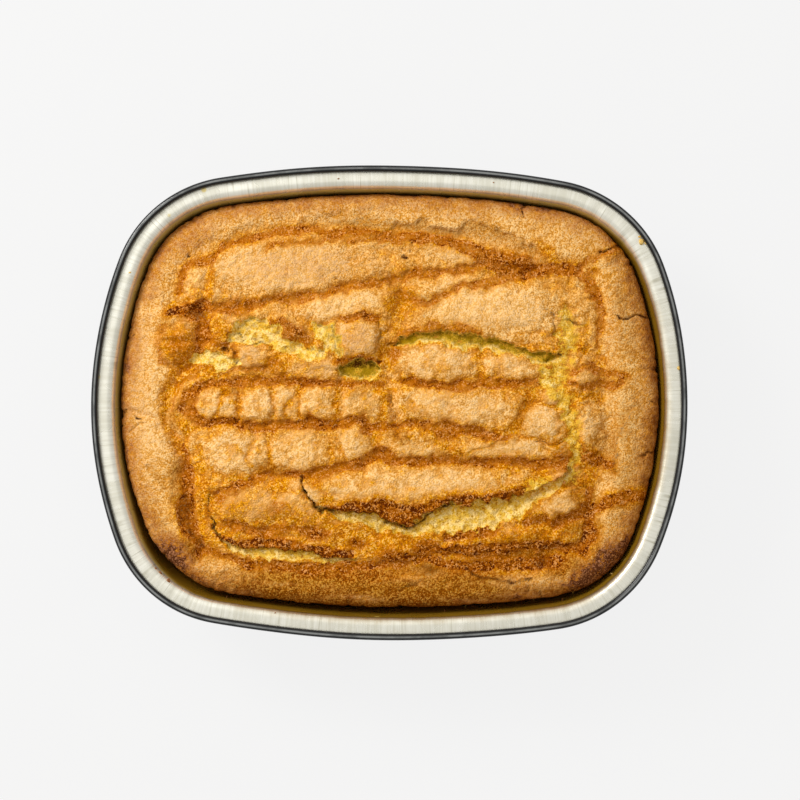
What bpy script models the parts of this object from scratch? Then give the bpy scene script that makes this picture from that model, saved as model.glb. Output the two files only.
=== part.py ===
"""A loaf of cornbread in the shallow foil tin that it was baked in.

The tin is one thin sheet: a flat floor, smooth walls that lean outwards, a flange and a rim curled up and
inwards. The bread has drawn back from the walls and stands on the floor. Its top is a broad rounded border
round a middle of low plates, torn open where the crumb rose through the crust.

The frame is +Z up with the origin under the middle of the tin. Lengths below are in millimetres.
"""

import math

import bmesh
import bpy
import numpy as np

MM = 0.001

# Tin, seen from above: a rounded rectangle whose sides bow outwards
RIM_LENGTH = 222.0
RIM_WIDTH = 176.8
LONG_SIDE_RADIUS = 396.0
SHORT_SIDE_RADIUS = 149.0
CORNER_RADIUS = 48.3
CORNER_STEPS = 8
LONG_SIDE_STEPS = 8
SHORT_SIDE_STEPS = 8

# Tin, in section
TIN_HEIGHT = 44.0
SHEET = 0.4
BEAD = 2.8
BEAD_TURN = (-90.0, 190.0)
BEAD_STEPS = 7
FLANGE_END = 5.2
SHOULDER_RADIUS = 2.2
SHOULDER_STEPS = 3
WALL_LEAN = 7.5
FLOOR_FILLET = 9.0
FILLET_STEPS = 4

# Bread, in section
BREAD_GAP_BELOW = 0.4
BREAD_EDGE_INSET = 10.1
BREAD_LEAST_INSET = 8.8
BREAD_EDGE_HEIGHT = 31.8
BREAD_FOOT_INSET = 12.0
BREAD_FOOT_HEIGHT = 10.5
BREAD_FOOT_ROUND = 8.4
ROUND_OVER = 5.5
BORDER_CREST = 1.0
BORDER_CREST_AT = 12.0
BORDER_CREST_REACH = 6.0
CROWN = 3.0
CROWN_REACH = 46.0

# Bread, as a mesh: points along each side of the square grid, rings down the side, and the final count
GRID = 160
EDGE_CROWDING = 0.6
RIM_REFINEMENT = 8
PATH_STEPS = 6
SIDE_RINGS = 8
FOOT_TURNS = (25.0, 50.0, 72.0, 90.0)
BREAD_TRIANGLES = 8500

# Shape of the relief: where a gap's bank starts and how wide it is, as parts of the gap's half-width,
# how much its floor tilts, how far behind a lip the crust is lifted, and how flat a mound's top is
BANK_START = 0.75
BANK_WIDTH = 0.5
FLOOR_TILT = 0.25
LIP_REACH = 5.0
MOUND_FLATNESS = 1.6
CALM_EDGE_START = 1.0
CALM_EDGE_WIDTH = 6.0

# How far the bread stands from the rim: nearer at the back and the left, further at the front corners
EDGE_LEAN_Y = 1.5
EDGE_LEAN_X = 0.45
FRONT_CORNERS = ((-36.0, 13.0, 1.3), (-143.0, 13.0, 1.2))

# Torn crust. Each point is x, y and half the width of the gap; each tear has its depth and the rise of
# the lip on its back side, given after the points.
TEARS = {
    "back": (
        (
            (2, 22.2, 0.8), (8, 23.6, 1.7), (14, 24.3, 2.2), (20, 24.5, 2.6), (27, 22.9, 2.7),
            (34, 23.0, 2.4), (41, 21.6, 2.4), (48, 19.8, 1.8), (55, 17.4, 2.2), (61, 17.6, 1.5),
        ),
        6.0,
        1.2,
    ),
    "left": (
        (
            (-58, 24, 2.2), (-50, 25, 4.0), (-43, 22, 3.8), (-36, 18.6, 3.2), (-29, 20.6, 3.5),
            (-22, 20.2, 3.0), (-18, 19.4, 1.4),
        ),
        4.6,
        0.8,
    ),
    "left_low": (
        (
            (-74, 14.6, 1.0), (-68, 15.8, 2.2), (-62, 14.0, 2.7), (-57, 14.2, 1.4),
        ),
        3.6,
        0.6,
    ),
    "middle_pit": (
        (
            (-18, 12, 1.2), (-14, 11.8, 3.0), (-9, 11.5, 3.2), (-4.5, 12.2, 1.5),
        ),
        5.6,
        0.8,
    ),
    "right": (
        (
            (66.3, 36, 1.0), (67, 30, 2.0), (67.5, 22, 2.9), (64.5, 14, 3.1), (63, 7, 2.6),
            (66, 1, 2.3), (69, -6, 2.0), (70.3, -14, 1.8), (70, -20, 1.4),
        ),
        3.8,
        0.3,
    ),
    "front": (
        (
            (-31, -32, 0.5), (-27, -38, 0.7), (-21, -41, 1.2), (-14, -42.6, 2.1), (-6, -43.6, 2.6),
            (1, -46, 1.9), (9, -47.6, 2.0), (15, -45, 3.6), (23, -42.4, 4.9), (32, -41.3, 4.9),
            (42, -40, 4.5), (50, -36.6, 3.9), (57, -33, 3.4), (63, -29, 2.6), (68, -23.5, 1.5),
        ),
        5.2,
        1.4,
    ),
    "front_low": (
        (
            (-65, -44, 0.5), (-61, -51.5, 0.7), (-54, -55.6, 1.2), (-45, -57, 1.9), (-36, -57.2, 2.1),
            (-28, -57.9, 1.8), (-20, -58.9, 1.3), (-12, -58.6, 0.8),
        ),
        3.6,
        0.8,
    ),
}

# Soft valleys between the plates: x, y and half-width, then the depth
VALLEYS = {
    "round_border_back": (
        (
            (-80, 36, 4), (-78, 47, 4), (-68, 57, 4), (-52, 62, 4), (-34, 65, 4), (-14, 65.5, 3.5),
            (4, 64.5, 3), (20, 63, 3), (36, 61.5, 3.5), (48, 58, 3.5), (58, 53.5, 3.5), (69, 51, 3),
            (76, 45, 3.5), (79, 35, 4), (78, 23, 4), (79, 10, 4),
        ),
        1.7,
    ),
    "round_border_left": (
        (
            (-80, 36, 4), (-76, 27, 3), (-79, 14, 3), (-82, 5, 3), (-83.5, -5, 3), (-80, -14, 3),
            (-76, -22, 3.5), (-74, -32, 4), (-74, -42, 4.5), (-70.5, -51, 4), (-69, -57, 3),
        ),
        2.4,
    ),
    "round_border_front": (
        (
            (-69, -57, 4), (-56, -60.6, 4), (-40, -62.4, 4), (-20, -62.6, 4), (0, -61.8, 4),
            (20, -61.6, 4), (40, -61.6, 4), (55, -59.8, 4), (66, -55.5, 4), (74, -48, 4), (77, -38, 4),
            (79, -26, 4), (82, -12, 4), (80, 4, 4),
        ),
        1.9,
    ),
    "back_fold": (
        (
            (-70, 36, 2), (-57, 33.6, 2), (-43, 37.4, 2), (-25, 39.6, 2), (-12, 43.4, 2), (0, 45.4, 2),
            (15, 48, 2), (34, 50.8, 2), (54, 49.6, 2),
        ),
        1.0,
    ),
    "back_right_fold": (
        (
            (12, 35.8, 2), (20, 40, 2), (27, 43.5, 2), (40, 45.5, 2), (52, 49, 2),
        ),
        0.9,
    ),
    "middle_rise": (
        (
            (0, 46, 2), (6, 40, 3.2), (4.5, 32, 3.4), (1.5, 24, 3.2), (0, 16, 3.2), (0, 9, 2.6),
            (0.6, 3, 1.2), (2.5, -3, 1.6), (3, -9, 2),
        ),
        1.9,
    ),
    "row_upper": (
        (
            (-72, 3, 2), (-62, 6.2, 2), (-45, 7, 1.8), (-28, 6.8, 1.8), (-10, 6.6, 1.8), (6, 7.2, 1.6),
            (24, 6.4, 1.8), (42, 7, 1.8), (57, 8.4, 2),
        ),
        0.9,
    ),
    "row_lower": (
        (
            (-76, -3, 2), (-69, -8.2, 2), (-50, -10.2, 2), (-30, -9.1, 2), (-13, -8, 2), (8, -8.2, 2),
            (24, -9.4, 2), (34, -11, 2), (45, -12, 2), (50, -5, 2), (50, 5, 1.6),
        ),
        1.1,
    ),
    "front_row": (
        (
            (-49, -28, 2), (-28, -27, 2), (-10, -23.6, 2), (-2, -19.6, 2), (12, -22, 2), (38, -22, 2),
            (57, -21.8, 2), (68, -20, 2.4),
        ),
        1.0,
    ),
    "front_left_fold": (
        (
            (-64, -35, 2), (-66, -42, 2), (-60, -46.5, 1.8), (-52, -48, 1.8), (-44, -49, 1.6),
        ),
        1.0,
    ),
    "front_right_fold": (
        (
            (22, -50, 2), (34, -47.2, 2), (50, -45, 2), (63, -44, 2), (72, -40.5, 2.4),
        ),
        0.9,
    ),
    "front_right_row": (
        (
            (10, -57, 2), (24, -57, 2), (38, -56.8, 2), (54, -56.4, 2), (64, -54, 2.4),
        ),
        1.2,
    ),
}

# Lumps and plates that stand up: x, y, half-length, half-width, turn in degrees, height
MOUNDS = (
    (-78, 21, 7.5, 6.5, 10, 2.6), (-85, 29.5, 4.5, 4, 0, 1.4), (-74, 44, 5, 8, 0, 1.2),
    (-62, 27, 6, 6, 0, 1.2), (-51.5, 16, 6, 5.2, 0, 2.0), (-38, 27.5, 7, 4, -35, 1.5),
    (-12, 23.6, 8, 7.6, 0, 2.8), (-28, 13, 8, 5, 0, 1.2), (-40, 50, 26, 10, 4, 1.1),
    (-18, 36, 15, 5.5, 8, 1.2), (30, 55.5, 20, 4.5, -12, 1.0), (36, 35.5, 25, 9.5, -3, 1.3),
    (19, 15, 13, 6.6, 0, 1.5), (45, 14, 9.5, 5, -12, 1.0), (72, 10, 5.5, 3, 0, 1.1),
    (-67, -2, 5.8, 5.2, 0, 1.5), (-60, -3, 3.6, 4.4, 0, 0.8), (-49, -2, 6.2, 6, 0, 1.5),
    (-38, -1, 5, 6, 0, 1.1), (-27, -1, 6.2, 6.2, 0, 1.4), (-11, -1, 7, 6, 0, 1.4),
    (25, -1.4, 22, 6.6, -4, 1.5), (57, -7, 7, 6.2, 0, 1.4), (-56, -19, 12, 8, 0, 1.1),
    (-33, -18, 10, 8, 0, 1.0), (-13, -16, 6.5, 7, 20, 1.3), (10, -18, 8, 3.2, -10, 1.2),
    (44, -17, 14, 4, 0, 0.9), (8, -31, 36, 6.6, 3, 1.3), (-50, -39, 12, 6, 0, 1.2),
    (-34, -40, 9, 6, -20, 1.2), (46.5, -50, 8.5, 4.2, 8, 1.3), (64.5, -37.5, 7.4, 4.6, 10, 1.6),
    (64, -27, 3.2, 2.4, 10, 1.4), (68, -47.5, 6, 3.6, 25, 1.0), (-88, -24, 9, 12, 0, 0.5),
    (82, 56, 4.5, 2.4, 35, 1.0), (84, 38, 6, 14, 0, 0.5),
)

TIN_COLOUR = (0.80, 0.78, 0.68)
BREAD_COLOUR = (0.66, 0.34, 0.10)


def clear_scene():
    """Remove every object, so that the script starts from nothing."""
    for thing in list(bpy.data.objects):
        bpy.data.objects.remove(thing, do_unlink=True)


def material(name, colour, roughness, metallic):
    """A plain Principled material."""
    made = bpy.data.materials.new(name)
    made.use_nodes = True
    shader = made.node_tree.nodes["Principled BSDF"]
    shader.inputs["Base Color"].default_value = (*colour, 1.0)
    shader.inputs["Roughness"].default_value = roughness
    shader.inputs["Metallic"].default_value = metallic
    return made


def corner_centre():
    """Centre of the corner arc that touches both side arcs from inside."""
    above = (0.0, RIM_WIDTH / 2 - LONG_SIDE_RADIUS)
    aside = (RIM_LENGTH / 2 - SHORT_SIDE_RADIUS, 0.0)
    reach_above = LONG_SIDE_RADIUS - CORNER_RADIUS
    reach_aside = SHORT_SIDE_RADIUS - CORNER_RADIUS
    apart = math.dist(above, aside)
    along = (reach_above**2 - reach_aside**2 + apart**2) / (2 * apart)
    off = math.sqrt(reach_above**2 - along**2)
    step = ((aside[0] - above[0]) / apart, (aside[1] - above[1]) / apart)
    return (above[0] + step[0] * along + step[1] * off, above[1] + step[1] * along - step[0] * off)


def outline_arcs():
    """One quarter of the rim as arcs: centre, radius, start and end angle, steps."""
    corner = corner_centre()
    above = (0.0, RIM_WIDTH / 2 - LONG_SIDE_RADIUS)
    aside = (RIM_LENGTH / 2 - SHORT_SIDE_RADIUS, 0.0)
    low = math.atan2(corner[1] - aside[1], corner[0] - aside[0])
    high = math.atan2(corner[1] - above[1], corner[0] - above[0])
    return (
        (aside, SHORT_SIDE_RADIUS, 0.0, low, SHORT_SIDE_STEPS // 2),
        (corner, CORNER_RADIUS, low, high, CORNER_STEPS),
        (above, LONG_SIDE_RADIUS, high, math.pi / 2, LONG_SIDE_STEPS // 2),
    )


def rim_points(refinement=1):
    """Points of the rim's outer edge and their outward normals, once round from +X."""
    quarter = []
    for centre, radius, start, end, steps in outline_arcs():
        count = steps * refinement
        for index in range(count):
            turn = start + (end - start) * index / count
            normal = (math.cos(turn), math.sin(turn))
            quarter.append((centre[0] + radius * normal[0], centre[1] + radius * normal[1], *normal))
    quarter = np.array(quarter)
    top = np.array([[0.0, RIM_WIDTH / 2, 0.0, 1.0]])
    half = np.vstack([quarter, top, quarter[:0:-1] * (-1, 1, -1, 1)])
    return np.vstack([half, half * (-1, -1, -1, -1)])


def at_inset(rim, inset):
    """Points that lie this far in from points of the rim."""
    return rim[:, 0] - inset * rim[:, 2], rim[:, 1] - inset * rim[:, 3]


def tin_profile():
    """Middle line of the sheet from the curl's raw edge to the floor, as inset and height."""
    bead_radius = (BEAD - SHEET) / 2
    bead_centre = (BEAD / 2, TIN_HEIGHT - BEAD / 2)
    line = []
    for index in range(BEAD_STEPS, -1, -1):
        turn = math.radians(BEAD_TURN[0] + (BEAD_TURN[1] - BEAD_TURN[0]) * index / BEAD_STEPS)
        inset = bead_centre[0] - bead_radius * math.cos(turn)
        line.append((inset, bead_centre[1] + bead_radius * math.sin(turn)))
    shoulder = (FLANGE_END, line[-1][1] - SHOULDER_RADIUS)
    lean = math.radians(WALL_LEAN)
    for index in range(SHOULDER_STEPS + 1):
        turn = (math.pi / 2 - lean) * index / SHOULDER_STEPS
        inset = shoulder[0] + SHOULDER_RADIUS * math.sin(turn)
        line.append((inset, shoulder[1] + SHOULDER_RADIUS * math.cos(turn)))
    floor = SHEET / 2
    fillet_height = floor + FLOOR_FILLET * (1 - math.sin(lean))
    drop = line[-1][1] - fillet_height
    foot = line[-1][0] + drop * math.tan(lean)
    middle = (foot + FLOOR_FILLET * math.cos(lean), floor + FLOOR_FILLET)
    for index in range(FILLET_STEPS + 1):
        turn = lean + (math.pi / 2 - lean) * index / FILLET_STEPS
        line.append((middle[0] - FLOOR_FILLET * math.cos(turn), middle[1] - FLOOR_FILLET * math.sin(turn)))
    return line


def sweep(profile):
    """A mesh of the profile carried round the rim, closed across its last ring."""
    rim = rim_points()
    mesh = bmesh.new()
    rings = []
    for inset, height in profile:
        places = zip(*at_inset(rim, inset))
        ring = [mesh.verts.new((x * MM, y * MM, height * MM)) for x, y in places]
        rings.append(ring)
    for upper, lower in zip(rings, rings[1:]):
        for index in range(len(rim)):
            after = (index + 1) % len(rim)
            mesh.faces.new((upper[index], upper[after], lower[after], lower[index]))
    mesh.faces.new(rings[-1])
    bmesh.ops.recalc_face_normals(mesh, faces=mesh.faces)
    return mesh


def named_object(name, mesh, finish):
    """Put a bmesh into the scene as an object with one material."""
    data = bpy.data.meshes.new(name)
    mesh.to_mesh(data)
    mesh.free()
    thing = bpy.data.objects.new(name, data)
    bpy.context.scene.collection.objects.link(thing)
    data.materials.append(finish)
    data.shade_smooth()
    data.set_sharp_from_angle(angle=math.radians(40))
    return thing


def foil_tin():
    """The tin as one sheet with a real thickness."""
    tin = named_object("foil_tin", sweep(tin_profile()), material("foil", TIN_COLOUR, 0.28, 1.0))
    sheet = tin.modifiers.new("sheet", "SOLIDIFY")
    sheet.thickness = SHEET * MM
    sheet.offset = 0.0
    sheet.use_even_offset = True
    return tin


def smooth_path(points):
    """A smooth curve through hand-placed points, with the numbers they carry."""
    placed = np.array(points, float)
    padded = np.vstack([2 * placed[0] - placed[1], placed, 2 * placed[-1] - placed[-2]])
    line = []
    for index in range(len(placed) - 1):
        a, b, c, d = padded[index : index + 4]
        for part in np.arange(PATH_STEPS) / PATH_STEPS:
            line.append(
                0.5 * (2 * b + (c - a) * part + (2 * a - 5 * b + 4 * c - d) * part**2
                       + (3 * b - a - 3 * c + d) * part**3)
            )
    line.append(placed[-1])
    return np.array(line)


def nearest(x, y, path):
    """Distance to a path, its half-width there, and the side: +1 on the left of its run."""
    best = np.full(x.shape, np.inf)
    width = np.zeros(x.shape)
    side = np.ones(x.shape)
    for start, end in zip(path, path[1:]):
        run = end[:2] - start[:2]
        part = np.clip(((x - start[0]) * run[0] + (y - start[1]) * run[1]) / max(run @ run, 1e-9), 0, 1)
        off_x = x - start[0] - part * run[0]
        off_y = y - start[1] - part * run[1]
        distance = np.hypot(off_x, off_y)
        closer = distance < best
        best = np.where(closer, distance, best)
        width = np.where(closer, start[2] + part * (end[2] - start[2]), width)
        side = np.where(closer, np.sign(run[0] * off_y - run[1] * off_x), side)
    return best, width, side


def ease(value):
    """A smooth step from 0 to 1."""
    value = np.clip(value, 0, 1)
    return value * value * (3 - 2 * value)


def tear_relief(x, y, points, depth, lip):
    """A gap whose floor slopes down towards its raised back lip."""
    distance, half, side = nearest(x, y, smooth_path(points))
    across = distance / half
    slope = 1 - FLOOR_TILT + FLOOR_TILT * np.clip(side * across, -1, 1)
    gap = 1 - ease((across - BANK_START) / BANK_WIDTH)
    beyond = np.maximum(distance - half, 0)
    rise = lip * np.exp(-beyond / LIP_REACH) * (1 - gap) * (side > 0)
    return rise - depth * slope * gap


def valley_relief(x, y, points, depth):
    """A soft trough."""
    distance, half, _ = nearest(x, y, smooth_path(points))
    return -depth * np.exp(-((distance / half) ** 2))


def mound_relief(x, y, mound):
    """A low plate or lump with a flattened top."""
    centre_x, centre_y, length, width, turn, height = mound
    turn = math.radians(turn)
    along = ((x - centre_x) * math.cos(turn) + (y - centre_y) * math.sin(turn)) / length
    across = ((y - centre_y) * math.cos(turn) - (x - centre_x) * math.sin(turn)) / width
    return height * np.exp(-((along**2 + across**2) ** MOUND_FLATNESS))


def bread_inset(x, y):
    """How far the bread's edge lies in from the rim, by direction."""
    turn = np.arctan2(y, x)
    inset = BREAD_EDGE_INSET - EDGE_LEAN_Y * np.sin(turn) + EDGE_LEAN_X * np.cos(turn)
    for middle, reach, extra in FRONT_CORNERS:
        inset += extra * np.exp(-(((np.degrees(turn) - middle) / reach) ** 2))
    return np.maximum(inset, BREAD_LEAST_INSET)


def bread_edge():
    """Where the square grid's outermost points lie: the rim's point and normal, and the inset from it."""
    rim = rim_points(RIM_REFINEMENT)
    inset = bread_inset(rim[:, 0], rim[:, 1])
    edge = np.column_stack([rim, inset])
    corner = corner_centre()
    tilt = math.atan2(corner[1], corner[0])
    middles = (-tilt, tilt, math.pi - tilt, math.pi + tilt, 2 * math.pi - tilt)
    turns = np.unwrap(np.arctan2(edge[:, 1], edge[:, 0]))
    around = np.vstack([edge, edge, edge])
    turns = np.concatenate([turns - 2 * math.pi, turns, turns + 2 * math.pi])
    sides = []
    for start, end in zip(middles, middles[1:]):
        inside = (turns > start) & (turns < end)
        stretch = np.vstack([
            [np.interp(start, turns, around[:, k]) for k in range(5)],
            around[inside],
            [np.interp(end, turns, around[:, k]) for k in range(5)],
        ])
        length = np.concatenate([[0], np.cumsum(np.hypot(*np.diff(stretch[:, :2], axis=0).T))])
        wanted = np.linspace(0, length[-1], GRID + 1)[:-1]
        sides.append(np.column_stack([np.interp(wanted, length, stretch[:, k]) for k in range(5)]))
    return np.vstack(sides)


def top_height(x, y, inward):
    """Height of the bread's top; inward is the distance from the bread's edge."""
    over = np.clip(inward / ROUND_OVER, 0, 1)
    height = BREAD_EDGE_HEIGHT + ROUND_OVER * np.sqrt(1 - (1 - over) ** 2)
    height += BORDER_CREST * np.exp(-(((inward - BORDER_CREST_AT) / BORDER_CREST_REACH) ** 2))
    height += CROWN * ease(inward / CROWN_REACH)
    calm = ease((inward - CALM_EDGE_START) / CALM_EDGE_WIDTH)
    relief = np.zeros(x.shape)
    for mound in MOUNDS:
        relief += mound_relief(x, y, mound)
    for points, depth in VALLEYS.values():
        relief += valley_relief(x, y, points, depth)
    for points, depth, lip in TEARS.values():
        relief += tear_relief(x, y, points, depth, lip)
    return height + relief * calm


def bread_mesh():
    """The bread as one closed mesh: a square grid laid over the top, rings down the side, a flat foot."""
    edge = bread_edge()
    half = GRID // 2
    mesh = bmesh.new()
    rings = []
    for step in range(1, half + 1):
        part = step / half
        reach = part + EDGE_CROWDING * math.sin(math.pi * part) / math.pi
        picked = edge[np.arange(8 * step) * half // step]
        x, y = at_inset(picked, picked[:, 4])
        inward = (1 - reach) * (x * picked[:, 2] + y * picked[:, 3])
        x *= reach
        y *= reach
        z = top_height(x, y, inward)
        rings.append([mesh.verts.new((a * MM, b * MM, c * MM)) for a, b, c in zip(x, y, z)])
    centre = top_height(np.zeros(1), np.zeros(1), np.full(1, CROWN_REACH))[0]
    middle = mesh.verts.new((0, 0, centre * MM))
    inner = rings[0]
    for index in range(8):
        mesh.faces.new((middle, inner[index], inner[(index + 1) % 8]))
    for smaller, larger in zip(rings, rings[1:]):
        bridge_rings(mesh, smaller, larger)
    lowest = side_rings(mesh, rings[-1], edge)
    mesh.faces.new(lowest)
    bmesh.ops.triangulate(mesh, faces=[face for face in mesh.faces if len(face.verts) > 4])
    bmesh.ops.recalc_face_normals(mesh, faces=mesh.faces)
    return mesh


def bridge_rings(mesh, smaller, larger):
    """Faces between two square rings, the larger with two more points on each side."""
    side_small = len(smaller) // 4
    side_large = len(larger) // 4
    for side in range(4):
        start_small = side * side_small
        start_large = side * side_large
        first = smaller[start_small]
        mesh.faces.new((larger[start_large], larger[start_large + 1], first))
        mesh.faces.new((larger[start_large], first, larger[start_large - 1]))
        for index in range(side_small):
            a = smaller[start_small + index]
            b = smaller[(start_small + index + 1) % len(smaller)]
            c = larger[start_large + index + 1]
            d = larger[start_large + index + 2]
            mesh.faces.new((a, c, d, b))


def side_rings(mesh, top, edge):
    """Rings of vertices down the bread's side and round its foot; returns the lowest."""
    foot = SHEET + BREAD_GAP_BELOW
    levels = []
    for index in range(1, SIDE_RINGS + 1):
        part = index / SIDE_RINGS
        height = BREAD_EDGE_HEIGHT + (BREAD_FOOT_HEIGHT - BREAD_EDGE_HEIGHT) * part
        levels.append((edge[:, 4] + (BREAD_FOOT_INSET - edge[:, 4]) * part, height))
    for turn in FOOT_TURNS:
        inset = BREAD_FOOT_INSET + BREAD_FOOT_ROUND * (1 - math.cos(math.radians(turn)))
        height = BREAD_FOOT_HEIGHT - (BREAD_FOOT_HEIGHT - foot) * math.sin(math.radians(turn))
        levels.append((inset, height))
    upper = top
    for inset, height in levels:
        lower = [mesh.verts.new((x * MM, y * MM, height * MM)) for x, y in zip(*at_inset(edge, inset))]
        for index in range(len(upper)):
            after = (index + 1) % len(upper)
            mesh.faces.new((upper[index], lower[index], lower[after], upper[after]))
        upper = lower
    return upper


def cornbread():
    """The bread: modelled finely, then thinned so that its triangles gather where the crust is torn."""
    bread = named_object("cornbread", bread_mesh(), material("crust", BREAD_COLOUR, 0.6, 0.0))
    faces = sum(len(face.vertices) - 2 for face in bread.data.polygons)
    thin = bread.modifiers.new("thin", "DECIMATE")
    thin.ratio = BREAD_TRIANGLES / faces
    thin.use_collapse_triangulate = True
    return bread


def main():
    """Build the tin and the bread."""
    clear_scene()
    foil_tin()
    cornbread()


main()
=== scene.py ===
"""Cornbread in the foil tin that it was baked in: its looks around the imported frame.

The loaf has a rounded border and a middle of low plates, torn open where the crumb rose, with lines of dark
syrup and pools of amber glaze between them. The tin is champagne foil inside and black lacquer outside, with
a curled rim. Lengths are in millimetres, +Z up, origin under the middle of the tin, unless a comment says
metres. Places on the loaf's top are given as seen from the camera, 0.7 m above the rim.
"""

from __future__ import annotations

import logging
import math
from dataclasses import dataclass
from enum import Enum

import bpy
import numpy as np
from mathutils import Matrix, Vector

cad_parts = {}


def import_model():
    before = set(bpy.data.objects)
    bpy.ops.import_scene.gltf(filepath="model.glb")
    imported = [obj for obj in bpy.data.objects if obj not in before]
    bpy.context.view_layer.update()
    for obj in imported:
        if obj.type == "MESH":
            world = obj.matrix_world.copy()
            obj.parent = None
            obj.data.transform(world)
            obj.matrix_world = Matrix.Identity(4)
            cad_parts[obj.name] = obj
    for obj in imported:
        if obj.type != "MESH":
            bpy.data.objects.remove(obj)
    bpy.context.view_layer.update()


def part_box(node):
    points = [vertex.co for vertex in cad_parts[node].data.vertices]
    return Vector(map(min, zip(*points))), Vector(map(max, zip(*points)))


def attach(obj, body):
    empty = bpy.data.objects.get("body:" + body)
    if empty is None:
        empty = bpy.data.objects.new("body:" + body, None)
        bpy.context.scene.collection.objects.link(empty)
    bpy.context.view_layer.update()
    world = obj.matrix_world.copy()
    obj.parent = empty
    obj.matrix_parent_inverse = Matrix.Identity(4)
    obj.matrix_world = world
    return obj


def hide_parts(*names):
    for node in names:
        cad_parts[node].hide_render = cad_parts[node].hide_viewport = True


LOG = logging.getLogger("cornbread")

MM = 0.001
BODY = "root"
CURVE_STEPS = 6
LATTICE = 256
NOISE_GAIN = 1.5
FAR = 1.0e3
TINY = 1e-9
LEAST_HALF = 0.05
LEAST_LENGTH = 1e-6
LEVEL_SLACK = 0.1

Point = tuple[float, ...]
Points = tuple[Point, ...]
# Low and high of a range and what they become, or the size, detail and roughness of a noise
Span = tuple[float, ...]
Place = tuple[float, float, float]
Colour = tuple[float, float, float]
Array = np.ndarray
Material = bpy.types.Material
Node = bpy.types.Node
NodeTree = bpy.types.NodeTree
Socket = bpy.types.NodeSocket
Thing = bpy.types.Object


# Small tools


def ease(value: Array) -> Array:
    """A smooth step from 0 to 1."""
    value = np.clip(value, 0.0, 1.0)
    return value * value * (3.0 - 2.0 * value)


def gradient_noise(u: Array, v: Array, seed: int) -> Array:
    """Smooth noise on a square lattice.

    Args:
        u: Places along the lattice, one unit to a cell.
        v: Places across the lattice.
        seed: Which of the repeatable patterns to give.

    Returns:
        Values of about -1 to 1.
    """
    turns = np.random.default_rng(seed).uniform(0.0, 2.0 * math.pi, (LATTICE, LATTICE))
    left = np.floor(u).astype(int)
    low = np.floor(v).astype(int)
    across = u - left
    up = v - low
    fade_u = across**3 * (across * (across * 6.0 - 15.0) + 10.0)
    fade_v = up**3 * (up * (up * 6.0 - 15.0) + 10.0)

    def corner(step_u: int, step_v: int) -> Array:
        """The slope from one lattice point."""
        turn = turns[(left + step_u) % LATTICE, (low + step_v) % LATTICE]
        return np.cos(turn) * (across - step_u) + np.sin(turn) * (up - step_v)

    lower = corner(0, 0) * (1.0 - fade_u) + corner(1, 0) * fade_u
    upper = corner(0, 1) * (1.0 - fade_u) + corner(1, 1) * fade_u
    return NOISE_GAIN * (lower * (1.0 - fade_v) + upper * fade_v)


@dataclass(frozen=True)
class Ramp:
    """A smooth step between a value and the one this width away."""

    start: float
    width: float

    def up(self, value: Array) -> Array:
        """0 below the start and 1 from the width above it."""
        return ease((value - self.start) / self.width)

    def down(self, value: Array) -> Array:
        """0 above the start and 1 from the width below it."""
        return ease((self.start - value) / self.width)


@dataclass(frozen=True)
class Roughness:
    """Random relief that is the same on every run: the size of its largest lumps, its pattern and detail."""

    size: float
    seed: int
    octaves: int = 3

    def at(self, x: Array, y: Array) -> Array:
        """Values of about -1 to 1 at the given places."""
        total = np.zeros(np.shape(x))
        for octave in range(self.octaves):
            scale = 2.0**octave / self.size
            total += gradient_noise(x * scale, y * scale, self.seed + octave) / 2.0**octave
        return total


def run_lengths(line: Array) -> Array:
    """How far along a line each of its points lies, by its first two columns."""
    return np.concatenate([[0], np.cumsum(np.hypot(*np.diff(line[:, :2], axis=0).T))])


def read_off(wanted: Array, known: Array, rows: Array) -> Array:
    """Rows in between the given ones, at wanted places among the known ones."""
    return np.column_stack([np.interp(wanted, known, column) for column in rows.T])


def smooth_path(points: Points) -> Array:
    """A smooth curve through given points.

    Args:
        points: x, y and half-width of each point.

    Returns:
        Rows of x, y and half-width along the curve.
    """
    placed = np.array(points, float)
    padded = np.vstack([2 * placed[0] - placed[1], placed, 2 * placed[-1] - placed[-2]])
    line = []
    for index in range(len(placed) - 1):
        a, b, c, d = padded[index : index + 4]
        for part in np.arange(CURVE_STEPS) / CURVE_STEPS:
            line.append(
                0.5 * (2 * b + (c - a) * part + (2 * a - 5 * b + 4 * c - d) * part**2
                       + (3 * b - a - 3 * c + d) * part**3)
            )
    line.append(placed[-1])
    return np.array(line)


@dataclass(frozen=True)
class Near:
    """The places near a path: which they are, how far off, the path's half-width there, its side and way."""

    index: Array
    distance: Array
    half: Array
    side: Array
    toward_x: Array
    toward_y: Array


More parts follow.
